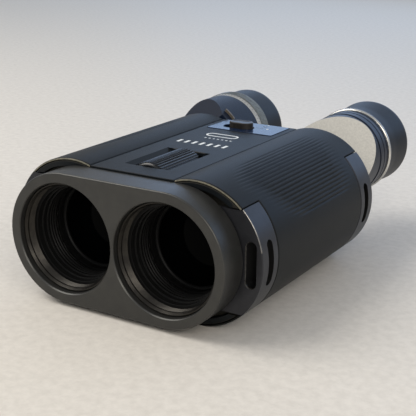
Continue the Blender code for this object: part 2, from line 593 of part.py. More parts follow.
def retaining_ring(side):
    """Holds the lens against its lip from the front."""
    back = CELL_FRONT + LENS_SETBACK + LENS_BULGE - RETAINER_ROOM
    return tube(f"retaining_ring_{side}", CELL_BORE - GAP, CELL_BORE - RETAINER_WIDTH,
                back - RETAINER_LENGTH, back, objective_axis(side), "baffle_black")


def focus_yoke():
    """Carries both objective cells along the threaded shaft."""
    front = CELL_FRONT + YOKE_RING / 3
    back = front + YOKE_THICKNESS
    grip = CELL_RADIUS + GAP
    reach, nut = OBJECTIVE_X - YOKE_LAP, 2 * SHAFT_RADIUS
    web = slab("focus_yoke", [(-reach, -nut), (reach, -nut), (reach, WHEEL_HEIGHT - 2 * nut),
                              (nut, WHEEL_HEIGHT + nut), (-nut, WHEEL_HEIGHT + nut),
                              (-reach, WHEEL_HEIGHT - 2 * nut)], front, back, (0, 0, 0), "aluminium")
    rings = [disc("ring", grip + YOKE_RING, front, back, objective_axis(side)) for side in SIDES]
    holes = [bore(grip, objective_axis(side)) for side in SIDES]
    return cut(join(web, *rings), *holes, bore(SHAFT_RADIUS + RUNNING, (0, 0, WHEEL_HEIGHT), COARSE))


def focus_wheel():
    rim, hole = WHEEL_RADIUS - WHEEL_EDGE, SHAFT_RADIUS + RUNNING
    return turned("focus_wheel", [(hole, WHEEL_FRONT), (rim, WHEEL_FRONT),
                                  (WHEEL_RADIUS, WHEEL_FRONT + WHEEL_EDGE),
                                  (WHEEL_RADIUS, WHEEL_REAR - WHEEL_EDGE), (rim, WHEEL_REAR),
                                  (hole, WHEEL_REAR)], (0, 0, WHEEL_HEIGHT))


def focus_shaft():
    return disc("focus_shaft", SHAFT_RADIUS, BULKHEAD_FRONT + GAP, POST_FRONT + CHASSIS_SHEET,
                (0, 0, WHEEL_HEIGHT), "steel", COARSE)


# ---------------------------------------------------------------- stabiliser, electronics and battery

def pins(way, inner, outer):
    """Two pivot pins through the gimbal's centre line, along one axis."""
    spans = [sorted((sign * inner, sign * outer)) for sign in SIDES.values()]
    return [turn_to(disc("pin", PIN_RADIUS, *span, (0, GIMBAL_Y, 0), BLACK, COARSE), way) for span in spans]


def plate_frame(name, half_width, half_height, openings):
    """A flat frame across the body at the gimbal's centre."""
    frame = box(name, (-half_width, half_width), (GIMBAL_FRONT, GIMBAL_BACK), (-half_height, half_height),
                "aluminium")
    for middle, half, tall in openings:
        cut(frame, box("hole", (middle - half, middle + half), (GIMBAL_FRONT - BEYOND, GIMBAL_BACK + BEYOND),
                       (-tall, tall)))
    return frame


def gimbal_outer_frame():
    """Yaws on the chassis; the prism frame pitches inside it."""
    inner_half_width, inner_half_height = FRAME_HALF_WIDTH - FRAME_BAR, FRAME_HALF_HEIGHT - FRAME_BAR
    frame = plate_frame("gimbal_outer_frame", FRAME_HALF_WIDTH, FRAME_HALF_HEIGHT,
                        [(0, inner_half_width, inner_half_height)])
    join(frame, *pins("up", FRAME_HALF_HEIGHT - FRAME_BAR / 2, -FLOOR - CHASSIS_SHEET / 4))
    return cut(frame, turn_to(bore(PIN_RADIUS + RUNNING, (0, GIMBAL_Y, 0), COARSE), "across"))


def gimbal_prism_frame():
    """Holds the two erecting prisms side by side."""
    room = PRISM_BLOCK / 2 + GAP
    frame = plate_frame("gimbal_prism_frame", PRISM_FRAME_HALF_WIDTH, PRISM_FRAME_HALF_HEIGHT,
                        [(sign * OBJECTIVE_X, room, room) for sign in SIDES.values()])
    return join(frame, *pins("across", PRISM_FRAME_HALF_WIDTH - FRAME_BAR / 2,
                             FRAME_HALF_WIDTH - FRAME_BAR / 3))


def erecting_prism(side):
    """A roof prism: a block with its two roof faces and its front foot cut off."""
    half, x = PRISM_BLOCK / 2, SIDES[side] * OBJECTIVE_X
    roof = [(half, half * ROOF_CUT), (half * ROOF_FLAT, half), (-half * ROOF_FLAT, half),
            (-half, half * ROOF_CUT)]
    front, back = GIMBAL_Y - PRISM_LENGTH / 2, GIMBAL_Y + PRISM_LENGTH / 2
    prism = slab(f"erecting_prism_{side}", [(-half, -half), (half, -half), *roof], front, back, (x, 0, 0),
                 "prism_glass")
    foot = PRISM_BLOCK * (1 - ROOF_CUT)

    def ends(across):
        low, edge = -half - BEYOND, front - BEYOND
        return (across, edge, low), (across, edge, low + foot + BEYOND), (across, edge + foot + BEYOND, low)

    return cut(prism, wedge(ends, (x - PRISM_BLOCK, x + PRISM_BLOCK)))


def pitch_actuator():
    front = FRAME_HALF_WIDTH + GAP
    motor = disc("pitch_actuator", ACTUATOR_RADIUS, front, front + ACTUATOR_LENGTH, (0, GIMBAL_Y, 0),
                 "steel", COARSE)
    return turn_to(motor, "across")


def yaw_actuator():
    """Stands on the chassis floor outside the left leg."""
    width, length, height = YAW_ACTUATOR
    right, front, low = -LEG_X - LEG_WIDTH - GAP, GIMBAL_BACK + GIMBAL_SWING, FLOOR + CHASSIS_SHEET + GAP
    return box("yaw_actuator", (right - width, right), (front, front + length), (low, low + height), "steel")


def control_board():
    top, back = DECK_HEIGHT - SHELL_WALL - BOARD_DROP, REAR_PLATE - BOARD_DROP
    half = CHASSIS_HALF_WIDTH - BOARD_MARGIN
    return box("control_board", (-half, half), (back - BOARD_LENGTH, back), (top - BOARD_THICKNESS, top),
               "circuit")


def battery_tube():
    room = BATTERY_RADIUS + GAP
    floor = TUBE_FRONT + TUBE_FLOOR
    return turned("battery_tube", [(0, TUBE_FRONT), (TUBE_RADIUS, TUBE_FRONT), (TUBE_RADIUS, TUBE_BACK),
                                   (room, TUBE_BACK), (room, floor), (0, floor)], (0, 0, -BATTERY_DROP))


def battery():
    front = TUBE_FRONT + TUBE_FLOOR + GAP
    return disc("battery", BATTERY_RADIUS, front, front + BATTERY_LENGTH, (0, 0, -BATTERY_DROP),
                "battery_wrap")


def battery_cap():
    """A plug with a flange outside the bulkhead and a slot for a coin."""
    front, seat = REAR_PLATE, BODY_REAR + GAP
    back, flange = seat + CAP_THICKNESS, CAP_RADIUS + CAP_FLANGE
    length, width, depth = COIN_SLOT
    cap = turned("battery_cap", [(0, front), (CAP_RADIUS, front), (CAP_RADIUS, seat), (flange, seat),
                                 (flange, back), (0, back)], (0, 0, -BATTERY_DROP))
    return cut(cap, box("slot", (-length / 2, length / 2), (back - depth, back + BEYOND),
                        (-BATTERY_DROP - width / 2, -BATTERY_DROP + width / 2)))


def pill(name, width, length, bottom, top, x, y, look=BLACK):
    """An upright block with rounded ends, long in X."""
    made = slab(name, stadium(width / 2 - length / 2, length / 2, COARSE), bottom, top, (x, y, 0), look)
    return turn_to(made, "up")


def control_panel():
    panel = box("control_panel", (-PANEL_HALF_WIDTH, PANEL_HALF_WIDTH),
                (PANEL_BACK - PANEL_LENGTH, PANEL_BACK), (PANEL_TOP - PANEL_THICKNESS, PANEL_TOP),
                "gloss_panel")
    slot = pill("slot", KNOB_WIDTH + KNOB_TRAVEL + 2 * GAP, KNOB_LENGTH + 2 * GAP, 0, THROUGH,
                KNOB_X - KNOB_TRAVEL / 2, KNOB_Y)
    led_hole = turn_to(bore(LED_RADIUS + RUNNING, (LED_X, LED_Y, 0), COARSE), "up")
    return cut(panel, slot, led_hole)


def power_switch():
    return pill("power_switch", KNOB_WIDTH, KNOB_LENGTH, PANEL_TOP - PANEL_THICKNESS,
                PANEL_TOP + KNOB_HEIGHT, KNOB_X, KNOB_Y, "knurled")


def status_led():
    return turn_to(disc("status_led", LED_RADIUS, PANEL_TOP - PANEL_THICKNESS, PANEL_TOP + RUNNING,
                        (LED_X, LED_Y, 0), "led_lens", COARSE), "up")


# ---------------------------------------------------------------- eyepieces

def along(side, u, v=0.0):
    """Point (x, z) at u outwards from the eyepiece axis, in line with the objective axis, and v across."""
    c, s = cos(OFFSET_ANGLE), sin(OFFSET_ANGLE)
    return SIDES[side] * (EYE_X + u * c - v * s), EYE_RISE + u * s + v * c


def wedge_along(side, corners, half):
    """A wedge whose triangle is given as (u, y) and which is half wide each way across."""
    def ends(v):
        places = [(along(side, u, v), y) for u, y in corners]
        return [(x, y, z) for (x, z), y in places]

    return wedge(ends, (-half, half))


def turret_plate(side):
    """Turns in the rear bulkhead about the objective axis."""
    at, eye = (SIDES[side] * OBJECTIVE_X, 0), (SIDES[side] * EYE_X, EYE_RISE)
    outline = hull_of_circles(PIVOT_RADIUS + YOKE_RING, at, PIVOT_RADIUS, eye)
    plate = slab(f"turret_plate_{side}", outline, TURRET_FRONT, TURRET_FRONT + PLATE, (0, 0, 0), "aluminium")
    neck = disc("neck", PIVOT_RADIUS, REAR_PLATE - PIVOT_REACH, TURRET_FRONT + PLATE / 2,
                objective_axis(side))
    return cut(join(plate, neck), bore(PIVOT_RADIUS - PIVOT_WALL, objective_axis(side)))


def prism_block(name, side, grow, look=BLACK):
    """The rhomboid prism's block, from beyond the objective axis to beyond the eyepiece axis."""
    half = PRISM_SIDE / 2 + grow
    corners = [(-OFFSET - half, -half), (half, -half), (half, half), (-OFFSET - half, half)]
    front, back = HOUSING_FRONT - grow * BEYOND, HOUSING_FRONT + PRISM_SIDE + grow
    return slab(name, [along(side, u, v) for u, v in corners], front, back, (0, 0, 0), look)


def mirror_cut(side, clear=0.0):
    """What lies before the mirror face at the prism's eyepiece end, less a clearance."""
    reach, y = PRISM_SIDE / 2 + BEYOND, HOUSING_FRONT - clear * sqrt(2)
    corners = [(-reach, y - BEYOND), (reach, y - BEYOND), (reach, y + PRISM_SIDE + BEYOND)]
    return wedge_along(side, corners, reach)


def slanted_cut(side):
    """The 45 degree facet across the front of the housing, facing away from the objective axis."""
    reach, crossing = HOUSING_RADIUS[side] + 2 * BEYOND, HOUSING_FRONT - max(FACET_LEAN[side], LEAST_LEAN)
    return wedge_along(side, [(reach, crossing + reach), (-reach, crossing - reach),
                              (reach, crossing - reach)], reach)


def ocular_housing(side):
    """Eyepiece casting: a prism pocket open to the front, a round barrel with a slanted facet, and a neck."""
    at = eye_axis(side)
    look = "dark_satin" if side == "left" else "light_grey"
    barrel_end = HOUSING_FRONT + HOUSING_LENGTH[side]
    neck_end = barrel_end + RING_LENGTH + TRIM[side] + NECK_END
    body = disc(f"ocular_housing_{side}", HOUSING_RADIUS[side], HOUSING_FRONT, barrel_end, at, look, FINE)
    outline = hull_of_circles(LOBE_RADIUS, (SIDES[side] * OBJECTIVE_X, 0), LOBE_RADIUS, (at[0], at[2]))
    lobe = slab("lobe", outline, HOUSING_FRONT, HOUSING_FRONT + POCKET + PRISM_WALL)
    neck = disc("neck", NECK_RADIUS, barrel_end - 1, neck_end, at)
    tunnel = disc("tunnel", NECK_BORE, HOUSING_FRONT + TUNNEL_START, neck_end + BEYOND, at)
    middle = HOUSING_FRONT + PRISM_SIDE / 2
    window = disc("window", PRISM_SIDE / 2 - 1, middle, HOUSING_FRONT + TUNNEL_START + 1, at, BLACK, COARSE)
    room = cut(prism_block("room", side, GAP), mirror_cut(side, GAP))
    return cut(join(body, lobe, neck), slanted_cut(side), room, tunnel, window)


def rhomboid_prism(side):
    """Shifts the beam from the objective axis to the eyepiece axis with a mirror face at each end."""
    prism = prism_block(f"rhomboid_prism_{side}", side, 0, "prism_glass")
    half, y, over = PRISM_SIDE / 2, HOUSING_FRONT, BEYOND
    far = -OFFSET
    back = y + PRISM_SIDE + over
    objective_end = [(far + half + over, back), (far - half - over, back), (far - half - over, y - over)]
    return cut(prism, mirror_cut(side), wedge_along(side, objective_end, half + over))


def ocular_end(side):
    return CUP_FRONT[side] + OCULAR_REACH


def ocular_barrel(side):
    """Holds the eye lens against a lip, inside the housing's neck."""
    front, back = HOUSING_FRONT + POCKET + PRISM_WALL + OCULAR_START, ocular_end(side)
    inner = OCULAR_RADIUS - OCULAR_WALL
    seat = back - EYE_LENS_THICKNESS - EYE_LENS_SETBACK - GAP
    lip, lip_front = inner - LENS_LIP, seat - LENS_LIP
    return turned(f"ocular_barrel_{side}", [(inner, front), (OCULAR_RADIUS, front), (OCULAR_RADIUS, back),
                                            (inner, back), (inner, seat), (lip, seat), (lip, lip_front),
                                            (inner, lip_front)], eye_axis(side), "baffle_black")


def eye_lens(side):
    radius, back = OCULAR_RADIUS - OCULAR_WALL - GAP, ocular_end(side) - EYE_LENS_SETBACK
    front, bulge = back - EYE_LENS_THICKNESS, LENS_BULGE * 3 / 4
    crown = [(radius * share, back - bulge * share * share) for share in (1, 0.6, 0)]
    return turned(f"eye_lens_{side}", [(0, front), (radius, front), *crown], eye_axis(side), "glass")


def diopter_ring():
    """The knurled ring on the left eyepiece that focuses it by itself."""
    front, inner = RING_FRONT["left"], NECK_RADIUS + 1.5 * RUNNING
    drop, length = DIOPTER_CHAMFER
    return turned("diopter_ring", [(inner, front), (DIOPTER_RADIUS - drop, front),
                                   (DIOPTER_RADIUS, front + length), (DIOPTER_RADIUS, front + RING_LENGTH),
                                   (inner, front + RING_LENGTH)], eye_axis("left"), "knurled", FINE)


def grip_ring():
    """The fixed dark ring with two grooves on the right eyepiece."""
    front, back, inner = RING_FRONT["right"], RING_FRONT["right"] + RING_LENGTH, NECK_RADIUS + GAP
    depth, width = GRIP_GROOVE
    profile = [(inner, front), (GRIP_RADIUS, front)]
    for groove in GRIP_GROOVES:
        start, stop = front + groove, front + groove + width
        profile += [(GRIP_RADIUS, start), (GRIP_RADIUS - depth, start), (GRIP_RADIUS - depth, stop),
                    (GRIP_RADIUS, stop)]
    profile += [(GRIP_RADIUS, back), (inner, back)]
    return turned("grip_ring_right", profile, eye_axis("right"), "dark_satin", FINE)


def trim_ring():
    """The polished ring in front of the right eyecup."""
    front, inner, edge = RING_FRONT["right"] + RING_LENGTH + GAP, NECK_RADIUS + GAP, TRIM_RADIUS - TRIM_EDGE
    back = front + TRIM_LENGTH
    return turned("trim_ring_right", [(inner, front), (edge, front), (TRIM_RADIUS, front + TRIM_EDGE),
                                      (TRIM_RADIUS, back - TRIM_EDGE), (edge, back), (inner, back)],
                  eye_axis("right"), "bright_metal", FINE)


def eyecup_guide(side):
    """The turning sleeve that the eyecup screws out on."""
    front = CUP_FRONT[side] + NECK_END - GAP + RUNNING
    back = CUP_FRONT[side] + CUP_LENGTH[side] - CUP_WEB - NECK_END
    return tube(f"eyecup_guide_{side}", NECK_RADIUS - 2 * RUNNING, OCULAR_RADIUS + GAP + RUNNING, front, back,
                eye_axis(side), "baffle_black")


def eyecup(side):
    """A rubber cup that flares a little on the right and has a rounded rear rim."""
    near, far = CUP_RADIUS[side]
    front, back = CUP_FRONT[side], CUP_FRONT[side] + CUP_LENGTH[side]
    bore_radius, web = NECK_RADIUS + RUNNING, back - CUP_WEB
    flare = front + CUP_LENGTH[side] / 3
    lip, small = CUP_LIP, CUP_LIP / 3
    return turned(f"eyecup_{side}", [(bore_radius, front), (near, front), (near, flare), (far, back - lip),
                                     (far - small, back - small), (far - lip, back),
                                     (CUP_OPENING + small, back), (CUP_OPENING, back - small),
                                     (CUP_OPENING, web), (bore_radius, web)], eye_axis(side), RUBBER, FINE)


def index_tab():
    """A small raised mark on the rim of the left housing."""
    x, _, z = eye_axis("left")
    inner = HOUSING_RADIUS["left"] + RUNNING
    steps = COARSE // 2
    outline = arc(inner + TAB_HEIGHT, TAB_START, TAB_STOP, steps) + arc(inner, TAB_STOP, TAB_START, steps)
    front = HOUSING_FRONT + TAB_SETBACK
    return slab("index_tab", outline, front, front + TAB_LENGTH, (x, 0, z), "light_grey")


# ---------------------------------------------------------------- assembly

FIXED = [front_hood, main_shell, front_bulkhead, rear_bulkhead, chassis, tripod_bush, yaw_actuator,
         control_board, control_panel, status_led, battery_tube, battery, battery_cap, focus_wheel,
         focus_shaft, focus_yoke, power_switch]
FIXED_PAIRS = [armour, filter_ring, objective_baffle, objective_cell, objective_lens, retaining_ring]
TURRET_PAIRS = [turret_plate, ocular_housing, rhomboid_prism, ocular_barrel, eye_lens, eyecup_guide, eyecup]
TURRET_OWN = {"left": [diopter_ring, index_tab], "right": [grip_ring, trim_ring]}


def clear_scene():
    for old in list(bpy.data.objects):
        bpy.data.objects.remove(old)


def gimbal(root):
    """The yaw frame, and the pitch frame that hangs in it with both prisms."""
    yaw = pivot("yaw_pivot", (0, GIMBAL_Y, 0), root)
    pitch = pivot("pitch_pivot", (0, GIMBAL_Y, 0), yaw)
    for piece in (gimbal_outer_frame(), pitch_actuator()):
        parent(piece, yaw)
    for piece in (gimbal_prism_frame(), *[erecting_prism(side) for side in SIDES]):
        parent(piece, pitch)


def turret(side, root):
    """One eyepiece on its pivot, with its own moving pieces."""
    swing = pivot(f"ipd_pivot_{side}", objective_axis(side), root)
    for make in TURRET_PAIRS:
        parent(make(side), swing)
    for make in TURRET_OWN[side]:
        parent(make(), swing)


def build():
    clear_scene()
    root = bpy.data.objects.new("binoculars", None)
    bpy.context.collection.objects.link(root)
    pieces = [make() for make in FIXED]
    pieces += [underside_screw(place) for place in SCREWS]
    for side in SIDES:
        pieces += [make(side) for make in FIXED_PAIRS]
        pieces += [strap_lug(side, end) for end in ("front", "rear")]
    for piece in pieces:
        parent(piece, root)
    gimbal(root)
    for side in SIDES:
        turret(side, root)
    for piece in bpy.data.objects:
        if piece.type == "MESH":
            piece.data.shade_smooth()
            piece.data.set_sharp_from_angle(angle=radians(30))
    root.location = point(0, -LENGTH / 2, REST_HEIGHT)


build()
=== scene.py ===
"""The looks of the image-stabilised binoculars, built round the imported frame.

Sizes below are in millimetres. x is measured from the middle of the body, y runs back from the front face
of the hood, and z runs up from the objective axes. place() turns them into metres in the frame's own axes.
"""

from math import acos, asin, atan2, cos, degrees, hypot, pi, radians, sin, sqrt

import bmesh
import bpy
from mathutils import Matrix, Vector


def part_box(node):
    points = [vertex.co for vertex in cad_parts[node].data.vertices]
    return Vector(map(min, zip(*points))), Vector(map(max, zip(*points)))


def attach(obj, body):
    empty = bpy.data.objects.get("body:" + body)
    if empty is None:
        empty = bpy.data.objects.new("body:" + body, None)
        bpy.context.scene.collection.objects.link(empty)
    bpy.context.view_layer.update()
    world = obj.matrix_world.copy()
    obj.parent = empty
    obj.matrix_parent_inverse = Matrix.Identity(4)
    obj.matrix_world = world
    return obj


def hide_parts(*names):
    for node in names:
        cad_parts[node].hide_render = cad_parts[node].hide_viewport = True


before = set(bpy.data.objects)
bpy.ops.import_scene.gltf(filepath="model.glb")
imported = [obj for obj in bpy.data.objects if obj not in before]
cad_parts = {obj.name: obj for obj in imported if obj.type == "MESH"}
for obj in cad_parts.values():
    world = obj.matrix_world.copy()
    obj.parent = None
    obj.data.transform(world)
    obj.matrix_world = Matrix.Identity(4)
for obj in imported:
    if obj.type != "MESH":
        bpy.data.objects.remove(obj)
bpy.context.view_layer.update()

MM = 0.001
SIDES = {"left": -1, "right": 1}
ROUND = 128                         # sides of a turned piece
THROUGH = 300.0                     # long enough for a cutter to pass right through
BEYOND = 5.0                        # how far a cutter reaches past the face that it opens
GAP = 0.3                           # between pieces that seat on each other

HOOD_LOW, HOOD_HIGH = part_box("front_hood")
FRONT, AXIS = HOOD_LOW.y, (HOOD_LOW.z + HOOD_HIGH.z) / 2


# ---------------------------------------------------------------- measures taken from the frame

def place(x, y, z):
    return Vector((x * MM, FRONT + y * MM, AXIS + z * MM))


def extent(node):
    """A CAD node's low and high corners, in millimetres from the hood's face and the objective axes."""
    low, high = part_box(node)
    shift = Vector((0, FRONT, AXIS))
    return (low - shift) / MM, (high - shift) / MM


def radius_of(node):
    low, high = extent(node)
    return (high.x - low.x) / 2


def length_of(node):
    low, high = extent(node)
    return low.y, high.y


HOOD_RADIUS = (HOOD_HIGH.z - HOOD_LOW.z) / MM / 2
HOOD_DEPTH = (HOOD_HIGH.y - HOOD_LOW.y) / MM
OBJECTIVE_X = (HOOD_HIGH.x - HOOD_LOW.x) / MM / 2 - HOOD_RADIUS
WELL_RADIUS = radius_of("filter_ring_right") + GAP
WELL_DEPTH = 9.6
CELL_RADIUS = radius_of("objective_cell_right")
CELL_BORE = CELL_RADIUS - 1.3
BODY_FRONT, BODY_REAR = length_of("rubber_armour_right")
ARMOUR_LOW = extent("rubber_armour_right")[0]
REST_HEIGHT = -ARMOUR_LOW.z
CREASE_X = ARMOUR_LOW.x
DECK_HEIGHT = extent("main_shell")[1].z
BARREL_RADIUS, BARREL_X = 31.66, 31.55
ARMOUR_THICKNESS, SHELL_WALL = 1.5, 1.8
ARMOUR_INSIDE = BARREL_RADIUS - ARMOUR_THICKNESS + GAP
SHELL_RADIUS = ARMOUR_INSIDE - 0.05
SHELL_INSIDE = BARREL_RADIUS - ARMOUR_THICKNESS - GAP - SHELL_WALL
LUG_LOW, LUG_HIGH = extent("strap_lug_rear_right")
LUG_FLAT, LUG_LENGTH = LUG_LOW.x, LUG_HIGH.y - LUG_LOW.y
LUG_ROOM = LUG_FLAT - GAP
LUG_HALF_HEIGHT = LUG_HIGH.z
APRON_X = OBJECTIVE_X + WELL_RADIUS / 2
CRESCENT_FLOOR = BODY_FRONT - GAP + 3.0
EYE_LOW, EYE_HIGH = extent("eyecup_right")
EYE_X, EYE_Z = (EYE_LOW.x + EYE_HIGH.x) / 2, (EYE_LOW.z + EYE_HIGH.z) / 2
WHEEL_LOW, WHEEL_HIGH = extent("focus_wheel")
WHEEL_RADIUS = (WHEEL_HIGH.x - WHEEL_LOW.x) / 2
WHEEL_Z = (WHEEL_HIGH.z + WHEEL_LOW.z) / 2
PANEL_LOW, PANEL_HIGH = extent("control_panel")
KNOB_LOW, KNOB_HIGH = extent("power_switch")
LED_LOW, LED_HIGH = extent("status_led")
CAP_LOW, CAP_HIGH = extent("battery_cap")
CAP_Z = (CAP_LOW.z + CAP_HIGH.z) / 2


# ---------------------------------------------------------------- mesh making

def made(bm, name, keep_normals=False):
    """Closes a bmesh into an object of that name, with its faces turned outwards."""
    bmesh.ops.remove_doubles(bm, verts=bm.verts, dist=1e-7)
    if not keep_normals:
        bmesh.ops.recalc_face_normals(bm, faces=bm.faces)
    data = bpy.data.meshes.new(name)
    bm.to_mesh(data)
    bm.free()
    piece = bpy.data.objects.new(name, data)
    bpy.context.collection.objects.link(piece)
    return piece


def settled(piece):
    """Puts the result of the modifiers into the mesh, and takes them off."""
    bpy.context.view_layer.update()
    seen = piece.evaluated_get(bpy.context.evaluated_depsgraph_get())
    result = bpy.data.meshes.new_from_object(seen)
    piece.modifiers.clear()
    piece.data = result
    return piece


def cut(target, *cutters, operation="DIFFERENCE"):
    for cutter in cutters:
        change = target.modifiers.new("cut", "BOOLEAN")
        change.operation = operation
        change.solver = "MANIFOLD"
        change.object = cutter
        settled(target)
        bpy.data.objects.remove(cutter)
    return target


def join(target, *others):
    return cut(target, *others, operation="UNION")


def softened(corners):
    """A closed outline of (a, b) or (a, b, fillet) corners with each corner rounded to its fillet."""
    turns = 4
    smooth = []
    for i, corner in enumerate(corners):
        here = Vector(corner[:2])
        fillet = corner[2] if len(corner) > 2 else 0.0
        before, after = Vector(corners[i - 1][:2]) - here, Vector(corners[(i + 1) % len(corners)][:2]) - here
        reach = min(fillet, before.length * 0.45, after.length * 0.45)
        if reach < 0.02:
            smooth.append(tuple(here))
            continue
        start, stop = here + before.normalized() * reach, here + after.normalized() * reach
        for step in range(turns + 1):
            share = step / turns
            bent = start * (1 - share) ** 2 + here * 2 * share * (1 - share) + stop * share ** 2
            smooth.append(tuple(bent))
    return smooth


def turned(name, profile, centre=(0.0, 0.0), sides=ROUND):
    """A closed (radius, y) outline turned about an axis along Y through centre, an (x, z) point."""
    bm = bmesh.new()
    rings = []
    for radius, y in softened(profile):
        if radius < 1e-6:
            rings.append([bm.verts.new(place(centre[0], y, centre[1]))] * sides)
            continue
        rings.append([bm.verts.new(place(centre[0] + radius * cos(2 * pi * i / sides), y,
                                         centre[1] + radius * sin(2 * pi * i / sides)))
                      for i in range(sides)])
    for ring, after in zip(rings, rings[1:] + rings[:1]):
        for i in range(sides):
            j = (i + 1) % sides
            around = list(dict.fromkeys((ring[i], ring[j], after[j], after[i])))
            if len(around) > 2:
                bm.faces.new(around)
    return made(bm, name)


def lofted(name, rings):
    """Rings of (x, y, z) points with the same count, joined in turn and closed at both ends."""
    bm = bmesh.new()
    loops = [[bm.verts.new(place(*point)) for point in ring] for ring in rings]
    for loop, after in zip(loops, loops[1:]):
        for i in range(len(loop)):
            j = (i + 1) % len(loop)
            bm.faces.new((loop[i], loop[j], after[j], after[i]))
    bm.faces.new(loops[0])
    bm.faces.new(loops[-1])
    return made(bm, name)


def arc(radius, start, stop, steps, x=0.0, z=0.0):
    """Points along an arc, in degrees from +X towards +Z."""
    turns = [radians(start + (stop - start) * i / steps) for i in range(steps + 1)]
    return [(x + radius * cos(turn), z + radius * sin(turn)) for turn in turns]


def stadium(half_spacing, radius, steps=ROUND // 2):
    return arc(radius, -90, 90, steps, half_spacing) + arc(radius, 90, 270, steps, -half_spacing)


def hull_of_circles(radius_a, a, radius_b, b, steps=ROUND // 2):
    direction = degrees(atan2(b[1] - a[1], b[0] - a[0]))
    lean = degrees(asin((radius_a - radius_b) / hypot(b[0] - a[0], b[1] - a[1])))
    half = 90 - lean
    return (arc(radius_b, direction - half, direction + half, steps, *b)
            + arc(radius_a, direction + half, direction + 360 - half, steps, *a))


def edged(outline_at, front, back, front_edge, back_edge):
    """Rings along Y of an outline that shrinks over a rounded edge at each end; outline_at takes an inset."""
    rings = []
    steps = 4
    for i in range(steps + 1):
        turn = radians(90 * i / steps)
        inset, y = front_edge * (1 - sin(turn)), front + front_edge * (1 - cos(turn))
        rings.append([(x, y, z) for x, z in outline_at(inset)])
    for i in range(steps + 1):
        turn = radians(90 * i / steps)
        inset, y = back_edge * (1 - cos(turn)), back - back_edge * (1 - sin(turn))
        rings.append([(x, y, z) for x, z in outline_at(inset)])
    return rings


def block(name, across, along_y, up):
    (x0, x1), (y0, y1), (z0, z1) = sorted(across), sorted(along_y), sorted(up)
    return lofted(name, [[(x0, y, z0), (x1, y, z0), (x1, y, z1), (x0, y, z1)] for y in (y0, y1)])


def cylinder(name, radius, front, back, centre):
    return turned(name, [(0, front), (radius, front), (radius, back), (0, back)], centre)


def upright(name, outline, levels):
    """An (x, y) outline stacked at heights; each level is (z, inset) and outline takes the inset."""
    return lofted(name, [[(x, y, z) for x, y in outline(inset)] for z, inset in levels])


def rounded_box(half_x, half_y, corner, x=0.0, y=0.0, steps=8):
    """An (x, y) outline maker with rounded corners."""
    def outline(inset):
        radius = max(corner - inset, 0.05)
        spots = ((1, 1, 0), (-1, 1, 90), (-1, -1, 180), (1, -1, 270))
        points = []
        for sx, sy, start in spots:
            middle = (x + sx * (half_x - inset - radius), y + sy * (half_y - inset - radius))
            points += arc(radius, start, start + 90, steps, *middle)
        return points
    return outline


def shown(piece, body, slot, finish, *nodes, angle=32):
    """Smooths a finished piece, gives it its finish, and lets it ride on its body in place of CAD nodes."""
    piece.data.materials.clear()
    piece.data.materials.append(finish)
    piece.data.shade_smooth()
    piece.data.set_sharp_from_angle(angle=radians(angle))
    even = piece.modifiers.new("even", "WEIGHTED_NORMAL")
    even.keep_sharp = True
    even.weight = 90
    settled(piece)
    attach(piece, body)
    if nodes:
        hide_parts(*nodes)
    return piece


def accent(piece, finish, where):
    """Gives a second finish to the faces whose middle, in millimetres, passes a test."""
    piece.data.materials.append(finish)
    last = len(piece.data.materials) - 1
    for face in piece.data.polygons:
        if where(*((face.center - place(0, 0, 0)) / MM)):
            face.material_index = last


# ---------------------------------------------------------------- repeated shapes

def wire(tree, *pairs):
    for source, target in pairs:
        tree.links.new(source, target)


def named_inputs(tree, wanted):
    """Adds the tree's sockets, and returns its group input node's outputs by name."""
    tree.interface.new_socket("Geometry", in_out="OUTPUT", socket_type="NodeSocketGeometry")
    for name, kind, value in wanted:
        socket = tree.interface.new_socket(name, in_out="INPUT", socket_type=kind)
        if value is not None:
            socket.default_value = value
    return tree.nodes.new("NodeGroupInput").outputs


def sum_of(tree, first, second, operation):
    node = tree.nodes.new("ShaderNodeMath")
    node.operation = operation
    for socket, value in zip(node.inputs, (first, second)):
        if value is None:
            continue
        if hasattr(value, "is_output"):
            tree.links.new(value, socket)
        else:
            socket.default_value = value
    return node.outputs[0]


